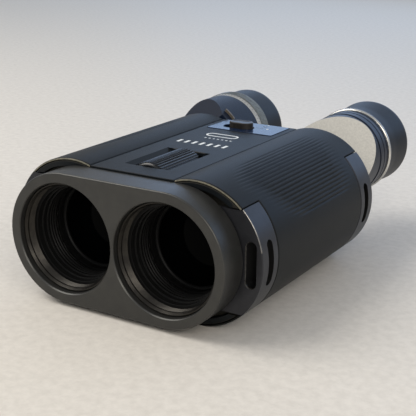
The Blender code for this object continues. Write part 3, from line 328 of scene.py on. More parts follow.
def ridge_ring_tree():
    """Ridges along Y set round a circle in the XZ plane."""
    tree = bpy.data.node_groups.new("ridge ring", "GeometryNodeTree")
    given = named_inputs(tree, [("Count", "NodeSocketInt", 40), ("Radius", "NodeSocketFloat", 0.01),
                                ("First", "NodeSocketFloat", 0.0), ("Step", "NodeSocketFloat", 0.1),
                                ("Length", "NodeSocketFloat", 0.01), ("Height", "NodeSocketFloat", 0.001),
                                ("Width", "NodeSocketFloat", 0.001), ("Lean", "NodeSocketFloat", 0.0),
                                ("Sides", "NodeSocketInt", 8), ("Finish", "NodeSocketMaterial", None)])
    new = tree.nodes.new
    angle = sum_of(tree, sum_of(tree, new("GeometryNodeInputIndex").outputs[0], given["Step"], "MULTIPLY"),
                   given["First"], "ADD")
    spot, points = new("ShaderNodeCombineXYZ"), new("GeometryNodePoints")
    across = sum_of(tree, sum_of(tree, angle, None, "COSINE"), given["Radius"], "MULTIPLY")
    up = sum_of(tree, sum_of(tree, angle, None, "SINE"), given["Radius"], "MULTIPLY")
    ridge, shape = new("GeometryNodeMeshCylinder"), new("GeometryNodeTransform")
    spread = new("GeometryNodeTransform")
    size, tilt = new("ShaderNodeCombineXYZ"), new("ShaderNodeCombineXYZ")
    ridge.inputs["Radius"].default_value = 1.0
    ridge.inputs["Depth"].default_value = 1.0
    shape.inputs["Rotation"].default_value = (pi / 2, 0, 0)
    facing, set_on = new("ShaderNodeCombineXYZ"), new("GeometryNodeInstanceOnPoints")
    real, coat = new("GeometryNodeRealizeInstances"), new("GeometryNodeSetMaterial")
    out = new("NodeGroupOutput")
    wire(tree, (given["Count"], points.inputs["Count"]), (across, spot.inputs[0]), (up, spot.inputs[2]),
         (spot.outputs[0], points.inputs["Position"]), (given["Sides"], ridge.inputs["Vertices"]),
         (ridge.outputs[0], shape.inputs[0]), (given["Height"], size.inputs[0]),
         (given["Length"], size.inputs[1]), (given["Width"], size.inputs[2]),
         (shape.outputs[0], spread.inputs[0]), (size.outputs[0], spread.inputs["Scale"]),
         (given["Lean"], tilt.inputs[2]), (tilt.outputs[0], spread.inputs["Rotation"]),
         (sum_of(tree, angle, -1.0, "MULTIPLY"), facing.inputs[1]),
         (points.outputs[0], set_on.inputs["Points"]), (spread.outputs[0], set_on.inputs["Instance"]),
         (facing.outputs[0], set_on.inputs["Rotation"]), (set_on.outputs[0], real.inputs[0]),
         (real.outputs[0], coat.inputs[0]), (given["Finish"], coat.inputs["Material"]),
         (coat.outputs[0], out.inputs[0]))
    return tree


def bar_row_tree():
    """Upright bars set in a straight row."""
    tree = bpy.data.node_groups.new("bar row", "GeometryNodeTree")
    given = named_inputs(tree, [("Count", "NodeSocketInt", 5), ("Start", "NodeSocketVector", None),
                                ("Step", "NodeSocketVector", None), ("Size", "NodeSocketVector", None),
                                ("Finish", "NodeSocketMaterial", None)])
    new = tree.nodes.new
    line, bar = new("GeometryNodeMeshLine"), new("GeometryNodeMeshCube")
    set_on, real = new("GeometryNodeInstanceOnPoints"), new("GeometryNodeRealizeInstances")
    coat, out = new("GeometryNodeSetMaterial"), new("NodeGroupOutput")
    wire(tree, (given["Count"], line.inputs["Count"]), (given["Start"], line.inputs["Start Location"]),
         (given["Step"], line.inputs["Offset"]), (given["Size"], bar.inputs["Size"]),
         (line.outputs[0], set_on.inputs["Points"]), (bar.outputs[0], set_on.inputs["Instance"]),
         (set_on.outputs[0], real.inputs[0]), (real.outputs[0], coat.inputs[0]),
         (given["Finish"], coat.inputs["Material"]), (coat.outputs[0], out.inputs[0]))
    return tree


RIDGE_RING, BAR_ROW = ridge_ring_tree(), bar_row_tree()


def repeated(name, tree, values, at=(0, 0, 0)):
    """Runs a tree with its named inputs set, and leaves a plain mesh moved to its place."""
    piece = bpy.data.objects.new(name, bpy.data.meshes.new(name))
    bpy.context.collection.objects.link(piece)
    change = piece.modifiers.new("repeat", "NODES")
    change.node_group = tree
    for item in tree.interface.items_tree:
        if item.in_out == "INPUT" and item.name in values:
            change[item.identifier] = values[item.name]
    settled(piece)
    piece.data.transform(Matrix.Translation(place(*at)))
    return piece


def ridges(name, count, radius, front, back, centre, height, width, finish, first=0.0, sweep=360.0, lean=0.0,
           sides=8):
    """Ridges along Y round an axis; height and width are each ridge's half sizes."""
    values = {"Count": count, "Radius": radius * MM, "First": radians(first),
              "Step": radians(sweep) / count, "Length": (back - front) * MM, "Height": height * MM,
              "Width": width * MM, "Lean": radians(lean), "Sides": sides, "Finish": finish}
    return repeated(name, RIDGE_RING, values, (centre[0], (front + back) / 2, centre[1]))


def bars(name, count, start, step, size, finish):
    given = {"Start": start, "Step": step, "Size": size}
    vectors = {key: [part * MM for part in value] for key, value in given.items()}
    return repeated(name, BAR_ROW, {"Count": count, "Finish": finish, **vectors})


# ---------------------------------------------------------------- finishes

def tone(red, green, blue):
    """A screen colour, each part 0 to 255, as linear light."""
    return tuple((part / 255 / 12.92) if part <= 10 else ((part / 255 + 0.055) / 1.055) ** 2.4
                 for part in (red, green, blue))


def coated(name, colour, second, patch, roughness, grain=0.25, relief=0.01, metallic=0.0, specular=0.4,
           coat=0.0, stretch=(1, 1, 1)):
    """A finish with two blended colours in patches, uneven gloss, and a fine grain raised by relief.

    patch and grain are sizes in millimetres, and stretch squeezes the grain along an axis.
    """
    found = bpy.data.materials.new(name)
    found.use_nodes = True
    nodes, links = found.node_tree.nodes, found.node_tree.links
    shader = nodes["Principled BSDF"]
    where = nodes.new("ShaderNodeTexCoord")
    patches, fine = nodes.new("ShaderNodeTexNoise"), nodes.new("ShaderNodeTexNoise")
    mixed, squeeze = nodes.new("ShaderNodeMix"), nodes.new("ShaderNodeMapping")
    gloss, sharpen = nodes.new("ShaderNodeMapRange"), nodes.new("ShaderNodeMapRange")
    bump = nodes.new("ShaderNodeBump")
    patches.inputs["Scale"].default_value = 1 / (patch * MM)
    patches.inputs["Detail"].default_value = 6.0
    patches.inputs["Roughness"].default_value = 0.62
    fine.inputs["Scale"].default_value = 1 / (grain * MM)
    fine.inputs["Detail"].default_value = 3.0
    squeeze.inputs["Scale"].default_value = stretch
    mixed.data_type = "RGBA"
    mixed.inputs[6].default_value = (*colour, 1)
    mixed.inputs[7].default_value = (*second, 1)
    sharpen.inputs["From Min"].default_value = 0.36
    sharpen.inputs["From Max"].default_value = 0.66
    gloss.inputs["From Min"].default_value = 0.3
    gloss.inputs["From Max"].default_value = 0.7
    gloss.inputs["To Min"].default_value = roughness[0]
    gloss.inputs["To Max"].default_value = roughness[1]
    bump.inputs["Strength"].default_value = 1.0
    bump.inputs["Distance"].default_value = relief * MM
    links.new(where.outputs["Object"], patches.inputs["Vector"])
    links.new(where.outputs["Object"], squeeze.inputs["Vector"])
    links.new(squeeze.outputs[0], fine.inputs["Vector"])
    links.new(patches.outputs["Fac"], sharpen.inputs["Value"])
    links.new(sharpen.outputs[0], mixed.inputs[0])
    links.new(mixed.outputs[2], shader.inputs["Base Color"])
    links.new(fine.outputs["Fac"], gloss.inputs["Value"])
    links.new(gloss.outputs[0], shader.inputs["Roughness"])
    links.new(fine.outputs["Fac"], bump.inputs["Height"])
    links.new(bump.outputs["Normal"], shader.inputs["Normal"])
    shader.inputs["Metallic"].default_value = metallic
    shader.inputs["Specular IOR Level"].default_value = specular
    shader.inputs["Coat Weight"].default_value = coat
    shader.inputs["Coat Roughness"].default_value = 0.08
    found.diffuse_color = (*colour, 1)
    return found


FINISH = {
    "hood": coated("gunmetal_hood_paint", tone(70, 70, 68), tone(65, 65, 64), 6.0, (0.33, 0.42), 0.12, 0.005,
                   metallic=0.7, specular=0.42),
    "lug": coated("gunmetal_lug_paint", tone(54, 55, 59), tone(48, 49, 53), 5.0, (0.32, 0.42), 0.14, 0.005,
                  metallic=0.6, specular=0.4),
    # painted highlight: a light metal colour for the rims of the lug slots and the eased ridge of the front
    # lugs, where the edges catch the light
    "bright_edge": coated("painted_highlight_metal_edge", tone(150, 148, 144), tone(120, 118, 114), 1.0, (0.22, 0.32),
                          0.15, 0.004, metallic=0.9),
    # painted highlight: a light warm colour for the armour's rounded front rim, where the edge catches the
    # light
    "painted_rim_highlight": coated("painted_highlight_rubber_rim", tone(112, 107, 90), tone(70, 68, 58), 1.4, (0.4, 0.5), 0.15,
                        0.01, specular=0.4),
    "thread": coated("anodised_thread", tone(52, 50, 46), tone(40, 38, 36), 3.0, (0.3, 0.42), 0.2, 0.004,
                     metallic=0.8, specular=0.5),
    "armour": coated("soft_armour_rubber", tone(13, 15, 15), tone(8, 10, 10), 9.0, (0.42, 0.55), 0.16, 0.010,
                     specular=0.2),
    "deck": coated("deck_rubber", tone(14, 19, 23), tone(10, 14, 17), 9.0, (0.42, 0.55), 0.16, 0.010,
                   specular=0.2),
    "recess": coated("recess_grained_black", tone(40, 38, 32), tone(20, 19, 17), 0.7, (0.5, 0.7), 0.3, 0.05,
                     specular=0.25),
    "flock": coated("flocked_baffle_black", tone(15, 15, 15), tone(9, 9, 9), 1.5, (0.45, 0.62), 0.12, 0.012,
                    specular=0.22),
    "lens": coated("coated_objective_glass", tone(2, 3, 4), tone(2, 3, 3), 30.0, (0.02, 0.05), 4.0, 0.0,
                   specular=0.02),
    "eye_lens": coated("coated_eye_glass", tone(4, 9, 8), tone(4, 6, 12), 12.0, (0.02, 0.05), 4.0, 0.0,
                       specular=0.4, coat=0.3),
    "prism": coated("ground_prism_glass", tone(198, 205, 203), tone(186, 196, 196), 5.0, (0.08, 0.2), 0.3,
                    0.002, specular=0.6),
    "alloy": coated("milled_alloy", tone(170, 170, 168), tone(150, 150, 149), 4.0, (0.32, 0.46), 0.3, 0.006,
                    metallic=0.9, stretch=(1, 0.1, 1)),
    "grey_casting": coated("textured_grey_paint", tone(194, 192, 185), tone(180, 178, 172), 0.9, (0.6, 0.74),
                           0.35, 0.035, specular=0.22),
    "blue_casting": coated("textured_navy_paint", tone(12, 24, 44), tone(8, 17, 33), 1.0, (0.4, 0.52), 0.35,
                           0.045, specular=0.24),
    "blue_ring": coated("navy_anodised_ring", tone(14, 23, 40), tone(10, 17, 31), 3.0, (0.32, 0.44), 0.2,
                        0.006, metallic=0.2, specular=0.35),
    "cup": coated("eyecup_rubber", tone(8, 13, 22), tone(5, 9, 16), 4.0, (0.38, 0.5), 0.18, 0.012,
                  specular=0.26),
    "knurl": coated("knurled_nickel", tone(122, 118, 104), tone(98, 95, 84), 1.6, (0.3, 0.42), 0.2, 0.008,
                    metallic=0.75, specular=0.5),
    "polish": coated("polished_trim_metal", tone(222, 220, 214), tone(208, 206, 202), 3.0, (0.2, 0.28), 0.3,
                     0.0005, metallic=1.0),
    "wheel": coated("wheel_ribbed_plastic", tone(8, 9, 13), tone(5, 6, 9), 2.0, (0.22, 0.32), 0.2, 0.006,
                    specular=0.45),
    "panel": coated("panel_gloss_plastic", tone(12, 30, 56), tone(10, 26, 48), 8.0, (0.16, 0.24), 0.4, 0.002,
                    specular=0.3),
    "knob": coated("switch_bronze_grey", tone(58, 54, 50), tone(46, 43, 41), 1.2, (0.3, 0.42), 0.2, 0.01,
                   metallic=0.4, specular=0.4),
    "print": coated("white_print", tone(222, 224, 222), tone(205, 208, 206), 0.6, (0.45, 0.6), 0.15, 0.004),
    "grey_print": coated("grey_print", tone(88, 98, 110), tone(76, 86, 98), 0.6, (0.45, 0.6), 0.15, 0.004),
    "lamp": coated("lamp_lens", tone(14, 16, 20), tone(10, 12, 14), 1.0, (0.08, 0.14), 0.3, 0.001, coat=0.5),
    "tab": coated("tab_bronze", tone(120, 112, 100), tone(92, 84, 74), 0.6, (0.35, 0.5), 0.2, 0.01,
                  metallic=0.4),
    "brass": coated("turned_brass", tone(176, 146, 92), tone(150, 122, 74), 1.5, (0.25, 0.4), 0.2, 0.004,
                    metallic=1.0),
    "steel": coated("bright_steel", tone(150, 151, 154), tone(128, 129, 132), 1.0, (0.22, 0.36), 0.2, 0.003,
                    metallic=1.0),
    "circuit": coated("circuit_lacquer", tone(20, 82, 52), tone(14, 62, 40), 1.2, (0.3, 0.45), 0.3, 0.01),
    "wrap": coated("battery_wrap_film", tone(88, 92, 99), tone(76, 80, 88), 2.0, (0.24, 0.36), 0.4, 0.003),
}


# ---------------------------------------------------------------- hood and objectives

def objective_axis(side):
    return (SIDES[side] * OBJECTIVE_X, 0.0)


def hood():
    """The obround front casting, with eased rims round both wells."""
    rim, mouth = 0.75, 0.55
    body = lofted("front_hood_casting", edged(lambda inset: stadium(OBJECTIVE_X, HOOD_RADIUS - inset),
                                              0, HOOD_DEPTH, rim, 0.35))
    for side in SIDES:
        well = [(0, -BEYOND), (WELL_RADIUS + mouth + BEYOND, -BEYOND), (WELL_RADIUS, mouth, 0.5),
                (WELL_RADIUS, WELL_DEPTH), (CELL_RADIUS + 0.6, WELL_DEPTH), (CELL_RADIUS + 0.6, THROUGH),
                (0, THROUGH)]
        cut(body, turned("well", well, objective_axis(side)))
    shown(body, "body", "gunmetal", FINISH["hood"], "front_hood")


def filter_ring(side):
    """A threaded ring: a bright cone, then the thread."""
    front, back = length_of(f"filter_ring_{side}")
    outer, inner = WELL_RADIUS - GAP, CELL_RADIUS + 1.2
    pitch, depth, land = 0.75, 0.38, 1.7
    profile = [(inner + 0.75, front, 0.1), (outer, front, 0.1), (outer, back), (inner, back)]
    turns = int((back - front - land) / pitch)
    for i in range(turns):
        y = back - (i + 0.5) * pitch
        profile += [(inner + depth, y), (inner, y - pitch / 2)]
    profile += [(inner + depth * 1.4, front + land, 0.1), (inner + depth * 1.4, front + land - 0.4, 0.1),
                (inner, front + land - 0.5, 0.1)]
    ring = turned(f"filter_thread_{side}", profile, objective_axis(side))
    shown(ring, "body", "gunmetal", FINISH["thread"], f"filter_ring_{side}")


def baffle(side):
    """Steps down from the filter ring to the cell, each cut with fine grooves that stop stray light."""
    front, back = length_of(f"objective_baffle_{side}")
    seat, step, drop = WELL_DEPTH - GAP, 0.6, 2.4
    outer = radius_of(f"objective_baffle_{side}")
    edge = 0.15
    profile = [(CELL_BORE + 2 * step, front, edge), (outer, front, edge), (outer, seat, edge),
               (CELL_RADIUS, seat), (CELL_RADIUS, back, edge), (CELL_BORE, back, edge)]
    groove, y = 0.8, back - 0.9
    while y > seat + 2 * drop + groove:
        profile += [(CELL_BORE, y, 0.08), (CELL_BORE + 0.3, y - groove / 2), (CELL_BORE, y - groove, 0.08)]
        y -= 2 * groove
    profile += [(CELL_BORE, seat + 2 * drop, edge), (CELL_BORE + step, seat + 2 * drop, edge),
                (CELL_BORE + step, seat + drop, edge), (CELL_BORE + 2 * step, seat + drop, edge)]
    shown(turned(f"stepped_baffle_{side}", profile, objective_axis(side)), "body", "baffle_black",
          FINISH["flock"], f"objective_baffle_{side}")


def lens_face(name, radius, front, back, bulge, centre, faces_front=True):
    """A lens with a domed face on one side and a ground rim."""
    steps = 14
    dome = []
    for i in range(steps + 1):
        share = i / steps
        height = bulge * share * share
        dome.append((radius * share, front + height) if faces_front else (radius * share, back - height))
    if faces_front:
        return turned(name, [*dome, (radius, back), (0, back)], centre)
    return turned(name, [(0, front), (radius, front), *dome[::-1]], centre)


def objective(side):
    front, back = length_of(f"objective_lens_{side}")
    glass = lens_face(f"objective_glass_{side}", radius_of(f"objective_lens_{side}"), front, back, 3.2,
                      objective_axis(side))
    shown(glass, "focus_carriage", "glass", FINISH["lens"], f"objective_lens_{side}", angle=60)
    front, back = length_of(f"retaining_ring_{side}")
    outer, bore = radius_of(f"retaining_ring_{side}"), CELL_BORE - 1.6
    ring = turned(f"lens_retainer_{side}", [(bore + 0.5, front, 0.1), (outer, front, 0.15), (outer, back),
                                            (bore, back), (bore, front + 0.6, 0.1)], objective_axis(side))
    shown(ring, "focus_carriage", "baffle_black", FINISH["flock"], f"retaining_ring_{side}")


# ---------------------------------------------------------------- shell, armour and strap lugs

def shell_section(inset=0.0, corner=0.5, radius=None):
    """The (x, z) outline of the shell: a flat deck between two barrels."""
    half, deck, radius = CREASE_X - GAP / 2 - inset, DECK_HEIGHT - inset, radius or SHELL_RADIUS - inset
    meet = degrees(acos((half - BARREL_X) / radius))
    side = arc(radius, -meet, meet, ROUND // 2, BARREL_X)
    eased = arc(corner, 0, 90, 4, half - corner, deck - corner)
    quarter = side + eased
    other = [(-x, z) for x, z in reversed(quarter)]
    lower_left = [(-x, z) for x, z in reversed(arc(corner, -90, 0, 4, half - corner, corner - deck))]
    lower_right = arc(corner, -90, 0, 4, half - corner, corner - deck)
    return quarter + other + lower_left + lower_right


def lug_rooms():
    room, outside = LUG_LENGTH + GAP, BARREL_X + BARREL_RADIUS + BEYOND
    return [block("room", (sign * LUG_ROOM, sign * outside), ends, (-outside, outside))
            for sign in SIDES.values()
            for ends in ((BODY_FRONT - BEYOND, BODY_FRONT + room + GAP),
                         (BODY_REAR - room - GAP, BODY_REAR + BEYOND))]


def apron_rooms():
    """Room in the shell's front edge for the front lugs' aprons."""
    along_y, up = (BODY_FRONT - BEYOND, CRESCENT_FLOOR), (-LUG_HALF_HEIGHT - GAP, LUG_HALF_HEIGHT + GAP)
    return [block("room", (sign * APRON_X, sign * (BARREL_X + BARREL_RADIUS)), along_y, up)
            for sign in SIDES.values()]


def below(name, profile, x, y, sides=48):
    """A turned piece in the underside, its profile given in depth below the objective axes."""
    piece = turned(name, profile, (0, 0), sides)
    origin = place(0, 0, 0)
    turn = Matrix.Translation(place(x, y, 0)) @ Matrix.Rotation(-pi / 2, 4, "X") @ Matrix.Translation(-origin)
    piece.data.transform(turn)
    return piece


def shell():
    """The body shell, with its wheel window, finger scoops, panel recess and underside holes."""
    clear, high = 1.4, DECK_HEIGHT + BEYOND
    wall = SHELL_WALL
    body = lofted("body_shell", edged(shell_section, BODY_FRONT, BODY_REAR, 0.3, 0.3))
    inside = [[(x, y, z) for x, z in shell_section(wall, radius=SHELL_INSIDE)]
              for y in (BODY_FRONT - BEYOND, BODY_REAR + BEYOND)]
    half_window = sqrt(WHEEL_RADIUS ** 2 - (DECK_HEIGHT - wall - WHEEL_Z) ** 2) + clear
    front, back = WHEEL_LOW.y - clear, WHEEL_HIGH.y + clear
    middle, half_length = (front + back) / 2, (back - front) / 2
    opening = upright("window", rounded_box(half_window + 0.3, half_length + 0.3, 0.9, 0, middle),
                      [(0, 0.3), (DECK_HEIGHT - 0.35, 0.3), (DECK_HEIGHT, 0.0), (high, 0.0)])
    scoops = []
    for sign in SIDES.values():
        top, foot = sign * (half_window + 2.5), sign * (half_window - 1.0)
        outline = [(top, DECK_HEIGHT), (foot, DECK_HEIGHT - 2.2), (foot, high), (top, high)]
        scoops.append(lofted("scoop", [[(x, y, z) for x, z in outline] for y in (front, back)]))
    half_x, half_y = PANEL_HIGH.x + 0.25, (PANEL_HIGH.y - PANEL_LOW.y) / 2 + 0.25
    panel_y = (PANEL_HIGH.y + PANEL_LOW.y) / 2
    recess = upright("recess", rounded_box(half_x, half_y, 1.0, 0, panel_y),
                     [(PANEL_LOW.z - GAP, 0.0), (high, 0.0)])
    bush_low, bush_high = extent("tripod_bush")
    bush_y, bush_radius = (bush_low.y + bush_high.y) / 2, (bush_high.x - bush_low.x) / 2 + GAP
    deep, head = DECK_HEIGHT - 5, DECK_HEIGHT - 1.05
    bush_hole = [(0, deep), (bush_radius, deep), (bush_radius, high), (0, high)]
    holes = [below("hole", bush_hole, 0, bush_y, ROUND)]
    for node in SCREWS:
        low, up = extent(node)
        radius = (up.x - low.x) / 2 + 0.1
        holes.append(below("hole", [(0, 20), (1.3, 20), (1.3, head), (radius, head),
                                    (radius, DECK_HEIGHT - 0.3), (radius + 0.5, high), (0, high)],
                           (low.x + up.x) / 2, (low.y + up.y) / 2))
    cut(body, lofted("inside", inside), opening, *scoops, recess, *holes, *lug_rooms(), *apron_rooms())
    shown(body, "body", "black_shell", FINISH["deck"], "main_shell")
    accent(body, FINISH["recess"], lambda x, y, z: abs(x) > CREASE_X and y < CRESCENT_FLOOR + 0.5)


SCREWS = [f"underside_screw_{end}_{side}" for end in ("front", "rear") for side in SIDES]
RIB_FIRST, RIB_PITCH, RIB_COUNT, RIB_DEPTH = 82.9, 3.4, 19, 0.45
RIB_FRONTS = ((18, 60), (24, 50), (30, 44), (39, 39), (49, 34), (61, 29), (73, 33), (83, 43))
RIB_BACKS = ((18, 101), (30, 106), (43, 107), (52, 109), (66, 112), (83, 109))


def between(table, value):
    """Straight-line reading of a table of (position, value) pairs."""
    for (a, first), (b, second) in zip(table, table[1:]):
        if value <= b:
            share = max(0.0, (value - a) / (b - a))
            return first + (second - first) * share
    return table[-1][1]


def ease(value):
    value = min(1.0, max(0.0, value))
    return value * value * (3 - 2 * value)


def rib_drop(angle, y):
    """How far the armour sinks at a point: grooves along the upper side that fade out at both ends."""
    last = RIB_FIRST - RIB_PITCH * (RIB_COUNT - 1)
    if not last - RIB_PITCH / 2 < angle < RIB_FIRST + RIB_PITCH / 2:
        return 0.0
    wave = 0.5 + 0.5 * cos(2 * pi * (angle - RIB_FIRST) / RIB_PITCH)
    fade = ease((y - between(RIB_FRONTS, angle) + 6) / 16) * ease((between(RIB_BACKS, angle) + 4 - y) / 14)
    weak = 0.55 + 0.45 * ease((RIB_FIRST - angle) / 14)
    return RIB_DEPTH * wave ** 2 * fade * weak


def rounded_drop(distance, fillet):
    if distance >= fillet:
        return 0.0
    return fillet - sqrt(fillet ** 2 - (fillet - distance) ** 2)


def steps_between(low, high, most):
    count = max(1, round((high - low) / most))
    return [low + (high - low) * i / count for i in range(count)]


def armour(side):
    """The ribbed rubber skin over one barrel, cut out for its two lugs and flat where it rests."""
    sign = SIDES[side]
    top = degrees(acos((CREASE_X - BARREL_X) / BARREL_RADIUS))
    notch = degrees(acos((LUG_ROOM - BARREL_X) / BARREL_RADIUS))
    lug_back, lug_front = BODY_FRONT + LUG_LENGTH + 2 * GAP, BODY_REAR - LUG_LENGTH - 2 * GAP
    per_mm = degrees(1 / BARREL_RADIUS)
    edges = (0.0, 0.1, 0.25, 0.5, 0.85)
    rib_last = RIB_FIRST - RIB_PITCH * RIB_COUNT
    turns = {-top + step * per_mm for step in edges} | {top - step * per_mm for step in edges}
    turns |= {way * (notch + step * per_mm) for step in edges for way in (-1, 1)}
    turns |= {way * (notch - 0.9 * per_mm) for way in (-1, 1)}
    turns |= set(steps_between(rib_last, RIB_FIRST + RIB_PITCH, RIB_PITCH / 8))
    turns |= set(steps_between(-top + 2, rib_last, 3.0))
    turns |= set(steps_between(RIB_FIRST + RIB_PITCH, top - 2, 2.0))
    rows = {BODY_FRONT + step for step in edges} | {BODY_REAR - step for step in edges}
    rows |= {lug_back + step for step in edges} | {lug_front - step for step in edges}
    rows |= set(steps_between(BODY_FRONT + 1.2, BODY_REAR - 1.0, 1.4))
    turns = thinned(turns, {top, -top, notch, -notch}, 0.12)
    rows = thinned(rows, {BODY_FRONT, BODY_REAR, lug_back, lug_front}, 0.07)
    bm = bmesh.new()
    points = {}

    def point(i, j):
        if (i, j) not in points:
            angle, y = turns[i], rows[j]
            gap_y = min(y - lug_back, lug_front - y)
            gap_a = (abs(angle) - notch) / per_mm
            if gap_a <= 1e-6:
                to_lug = gap_y
            elif gap_y >= 0:
                to_lug = hypot(gap_a, gap_y)
            else:
                to_lug = gap_a
            to_edge = min(y - BODY_FRONT, BODY_REAR - y, (top - abs(angle)) / per_mm)
            drop = max(rounded_drop(max(0.0, to_edge), 0.8), rounded_drop(max(0.0, to_lug), 0.5))
            radius = BARREL_RADIUS - drop - rib_drop(angle, y)
            turn = radians(angle)
            z = max(radius * sin(turn), -REST_HEIGHT)
            points[i, j] = bm.verts.new(place(sign * (BARREL_X + radius * cos(turn)), y, z))
        return points[i, j]

    for i in range(len(turns) - 1):
        middle = abs(turns[i] + turns[i + 1]) / 2
        for j in range(len(rows) - 1):
            y = (rows[j] + rows[j + 1]) / 2
            if middle < notch and not lug_back < y < lug_front:
                continue
            bm.faces.new((point(i, j), point(i + 1, j), point(i + 1, j + 1), point(i, j + 1)))
    if sign > 0:
        bmesh.ops.reverse_faces(bm, faces=bm.faces)
    skin = made(bm, f"ribbed_armour_{side}", keep_normals=True)
    wall = skin.modifiers.new("wall", "SOLIDIFY")
    wall.thickness = (BARREL_RADIUS - ARMOUR_INSIDE) * MM
    wall.offset = -1
    settled(skin)
    shown(skin, "body", "rubber", FINISH["armour"], f"rubber_armour_{side}", angle=50)
    # painted highlight: the upper half of the armour's front rim takes a light warm colour
    accent(skin, FINISH["painted_rim_highlight"], lambda x, y, z: y < BODY_FRONT + 0.22 and z > 0)


def thinned(values, kept, least):
    """Sorted values with those nearer than least dropped, and the kept ones always there."""
    chosen = []
    for value in sorted(values | kept):
        if chosen and value - chosen[-1] < least:
            if value in kept:
                chosen[-1] = value
            continue
        chosen.append(value)
    return chosen


def barrel_ring(sign, inset):
    return arc(BARREL_RADIUS - inset, 0, 360 - 360 / ROUND, ROUND - 1, sign * BARREL_X)


def apron(side, front):
    """The front lug's thin plate, which closes the step between the hood and the barrel."""
    sign, half, far = SIDES[side], LUG_HALF_HEIGHT - 0.4, THROUGH
    reach = (front - BEYOND, CRESCENT_FLOOR + BEYOND)
    plate = lofted("apron", edged(lambda inset: barrel_ring(sign, inset), front, CRESCENT_FLOOR - GAP,
                                  0.45, 0.1))
    seat = [[(x, y, z) for x, z in stadium(OBJECTIVE_X, WELL_RADIUS + 0.7)] for y in reach]
    ends = [block("end", (-far, far), reach, (way * half, way * far)) for way in (-1, 1)]
    return cut(plate, block("inner", (-sign * far, sign * APRON_X), reach, (-far, far)), *ends,
               lofted("seat", seat))


def lug(side, end):
    """A strap lug: a slice of the barrel with a rounded slot in its end face and one in its side."""
    sign, node = SIDES[side], f"strap_lug_{end}_{side}"
    front, back = length_of(node)
    way, outer = (1, front) if end == "front" else (-1, back)
    edge = 0.45
    body = lofted(f"slotted_{node}", edged(lambda inset: barrel_ring(sign, inset), front, back, edge, edge))
    far = BARREL_X + BARREL_RADIUS + BEYOND
    rest = block("rest", (-sign * far, sign * LUG_FLAT), (front - BEYOND, back + BEYOND), (-far, far))
    cut(body, rest)
    if end == "front":
        join(body, apron(side, front))
    slot_x, width, half_tall, bar, side_width = LUG_FLAT + 1.7, 4.7, 9.8, 4.9, 4.4
    bar_end = outer + way * bar
    slot_end = bar_end + way * side_width
    middle_x = slot_x + width / 2

    def tall(inset):
        radius = width / 2 - inset
        upper, lower = half_tall - width / 2, width / 2 - half_tall
        ends = arc(radius, 0, 180, 16, 0, upper) + arc(radius, 180, 360, 16, 0, lower)
        return [(sign * (middle_x + x), z) for x, z in ends]

    deep = [(outer - way * BEYOND, -0.5 - BEYOND * 0.5), (outer + way * 0.5, 0.0), (slot_end, 0.0)]
    end_slot = lofted("slot", [[(x, y, z) for x, z in tall(inset)] for y, inset in deep])
    side_middle, radius = (bar_end + slot_end) / 2, side_width / 2
    pill = (arc(radius, 0, 180, 16, side_middle, half_tall - radius)
            + arc(radius, 180, 360, 16, side_middle, radius - half_tall))
    side_slot = lofted("slot", [[(x, y, z) for y, z in pill] for x in sorted((sign * slot_x, sign * far))])
    cut(body, end_slot, side_slot)
    shown(body, "body", "gunmetal", FINISH["lug"], node)

    def in_slot(x, y, z):
        across = slot_x - 0.05 < sign * x and hypot(sign * x - BARREL_X, z) < BARREL_RADIUS - 0.15
        depth = way * (y - outer)
        through = sign * x < slot_x + width + 0.05 or depth > bar - 0.05
        return across and through and abs(z) < half_tall + 0.02 and 0.45 < depth < bar + side_width + 0.05

    def on_rim(x, y, z):
        return (abs(sign * x - middle_x) < width / 2 + 0.5 and abs(z) < half_tall + 0.5
                and 0.02 < way * (y - outer) < 0.45)

    def on_ridge(x, y, z):
        out = BARREL_RADIUS - hypot(sign * x - BARREL_X, z)
        return z > LUG_HALF_HEIGHT * 0.25 and 0.02 < out < 0.3 and y < front + 0.4

    # painted shade: the inside walls of both slots take the near-black baffle finish
    accent(body, FINISH["flock"], in_slot)
    # painted highlight: the rim round the end slot, and on a front lug the eased edge of its upper ridge,
    # take a light metal colour
    accent(body, FINISH["bright_edge"], on_rim)
    if end == "front":
        accent(body, FINISH["bright_edge"], on_ridge)


def underside_fittings():
    """The screws with their cross recess, and the threaded bush."""
    for node in SCREWS:
        low, high = extent(node)
        x, y, outer, head = (low.x + high.x) / 2, (low.y + high.y) / 2, -low.z, (high.x - low.x) / 2
        piece = below(f"{node}_crosshead", [(0, outer - 4.6), (1.2, outer - 4.6), (1.2, outer - 0.75),
                                            (head, outer - 0.75), (head, outer - 0.15, 0.15),
                                            (head * 0.6, outer, 0.3), (0, outer)], x, y)
        for half_x, half_y in ((1.3, 0.28), (0.28, 1.3)):
            cut(piece, block("cross", (x - half_x, x + half_x), (y - half_y, y + half_y),
                             (-outer - BEYOND, -outer + 0.5)))
        shown(piece, "body", "steel", FINISH["steel"], node)
    low, high = extent("tripod_bush")
    outer, inner, radius, bore = -low.z, -high.z, (high.x - low.x) / 2, 3.0
    profile = [(0, inner), (radius, inner), (radius, outer, 0.3), (bore + 0.6, outer, 0.15)]
    y = outer - 0.6
    while y > inner + 1.6:
        profile += [(bore, y), (bore + 0.35, y - 0.25)]
        y -= 0.5
    profile += [(bore, inner + 1.0), (0, inner + 1.0)]
    bush = below("threaded_tripod_bush", profile, 0, (low.y + high.y) / 2, ROUND)
    shown(bush, "body", "brass", FINISH["brass"], "tripod_bush")


# ---------------------------------------------------------------- wheel, panel and switch

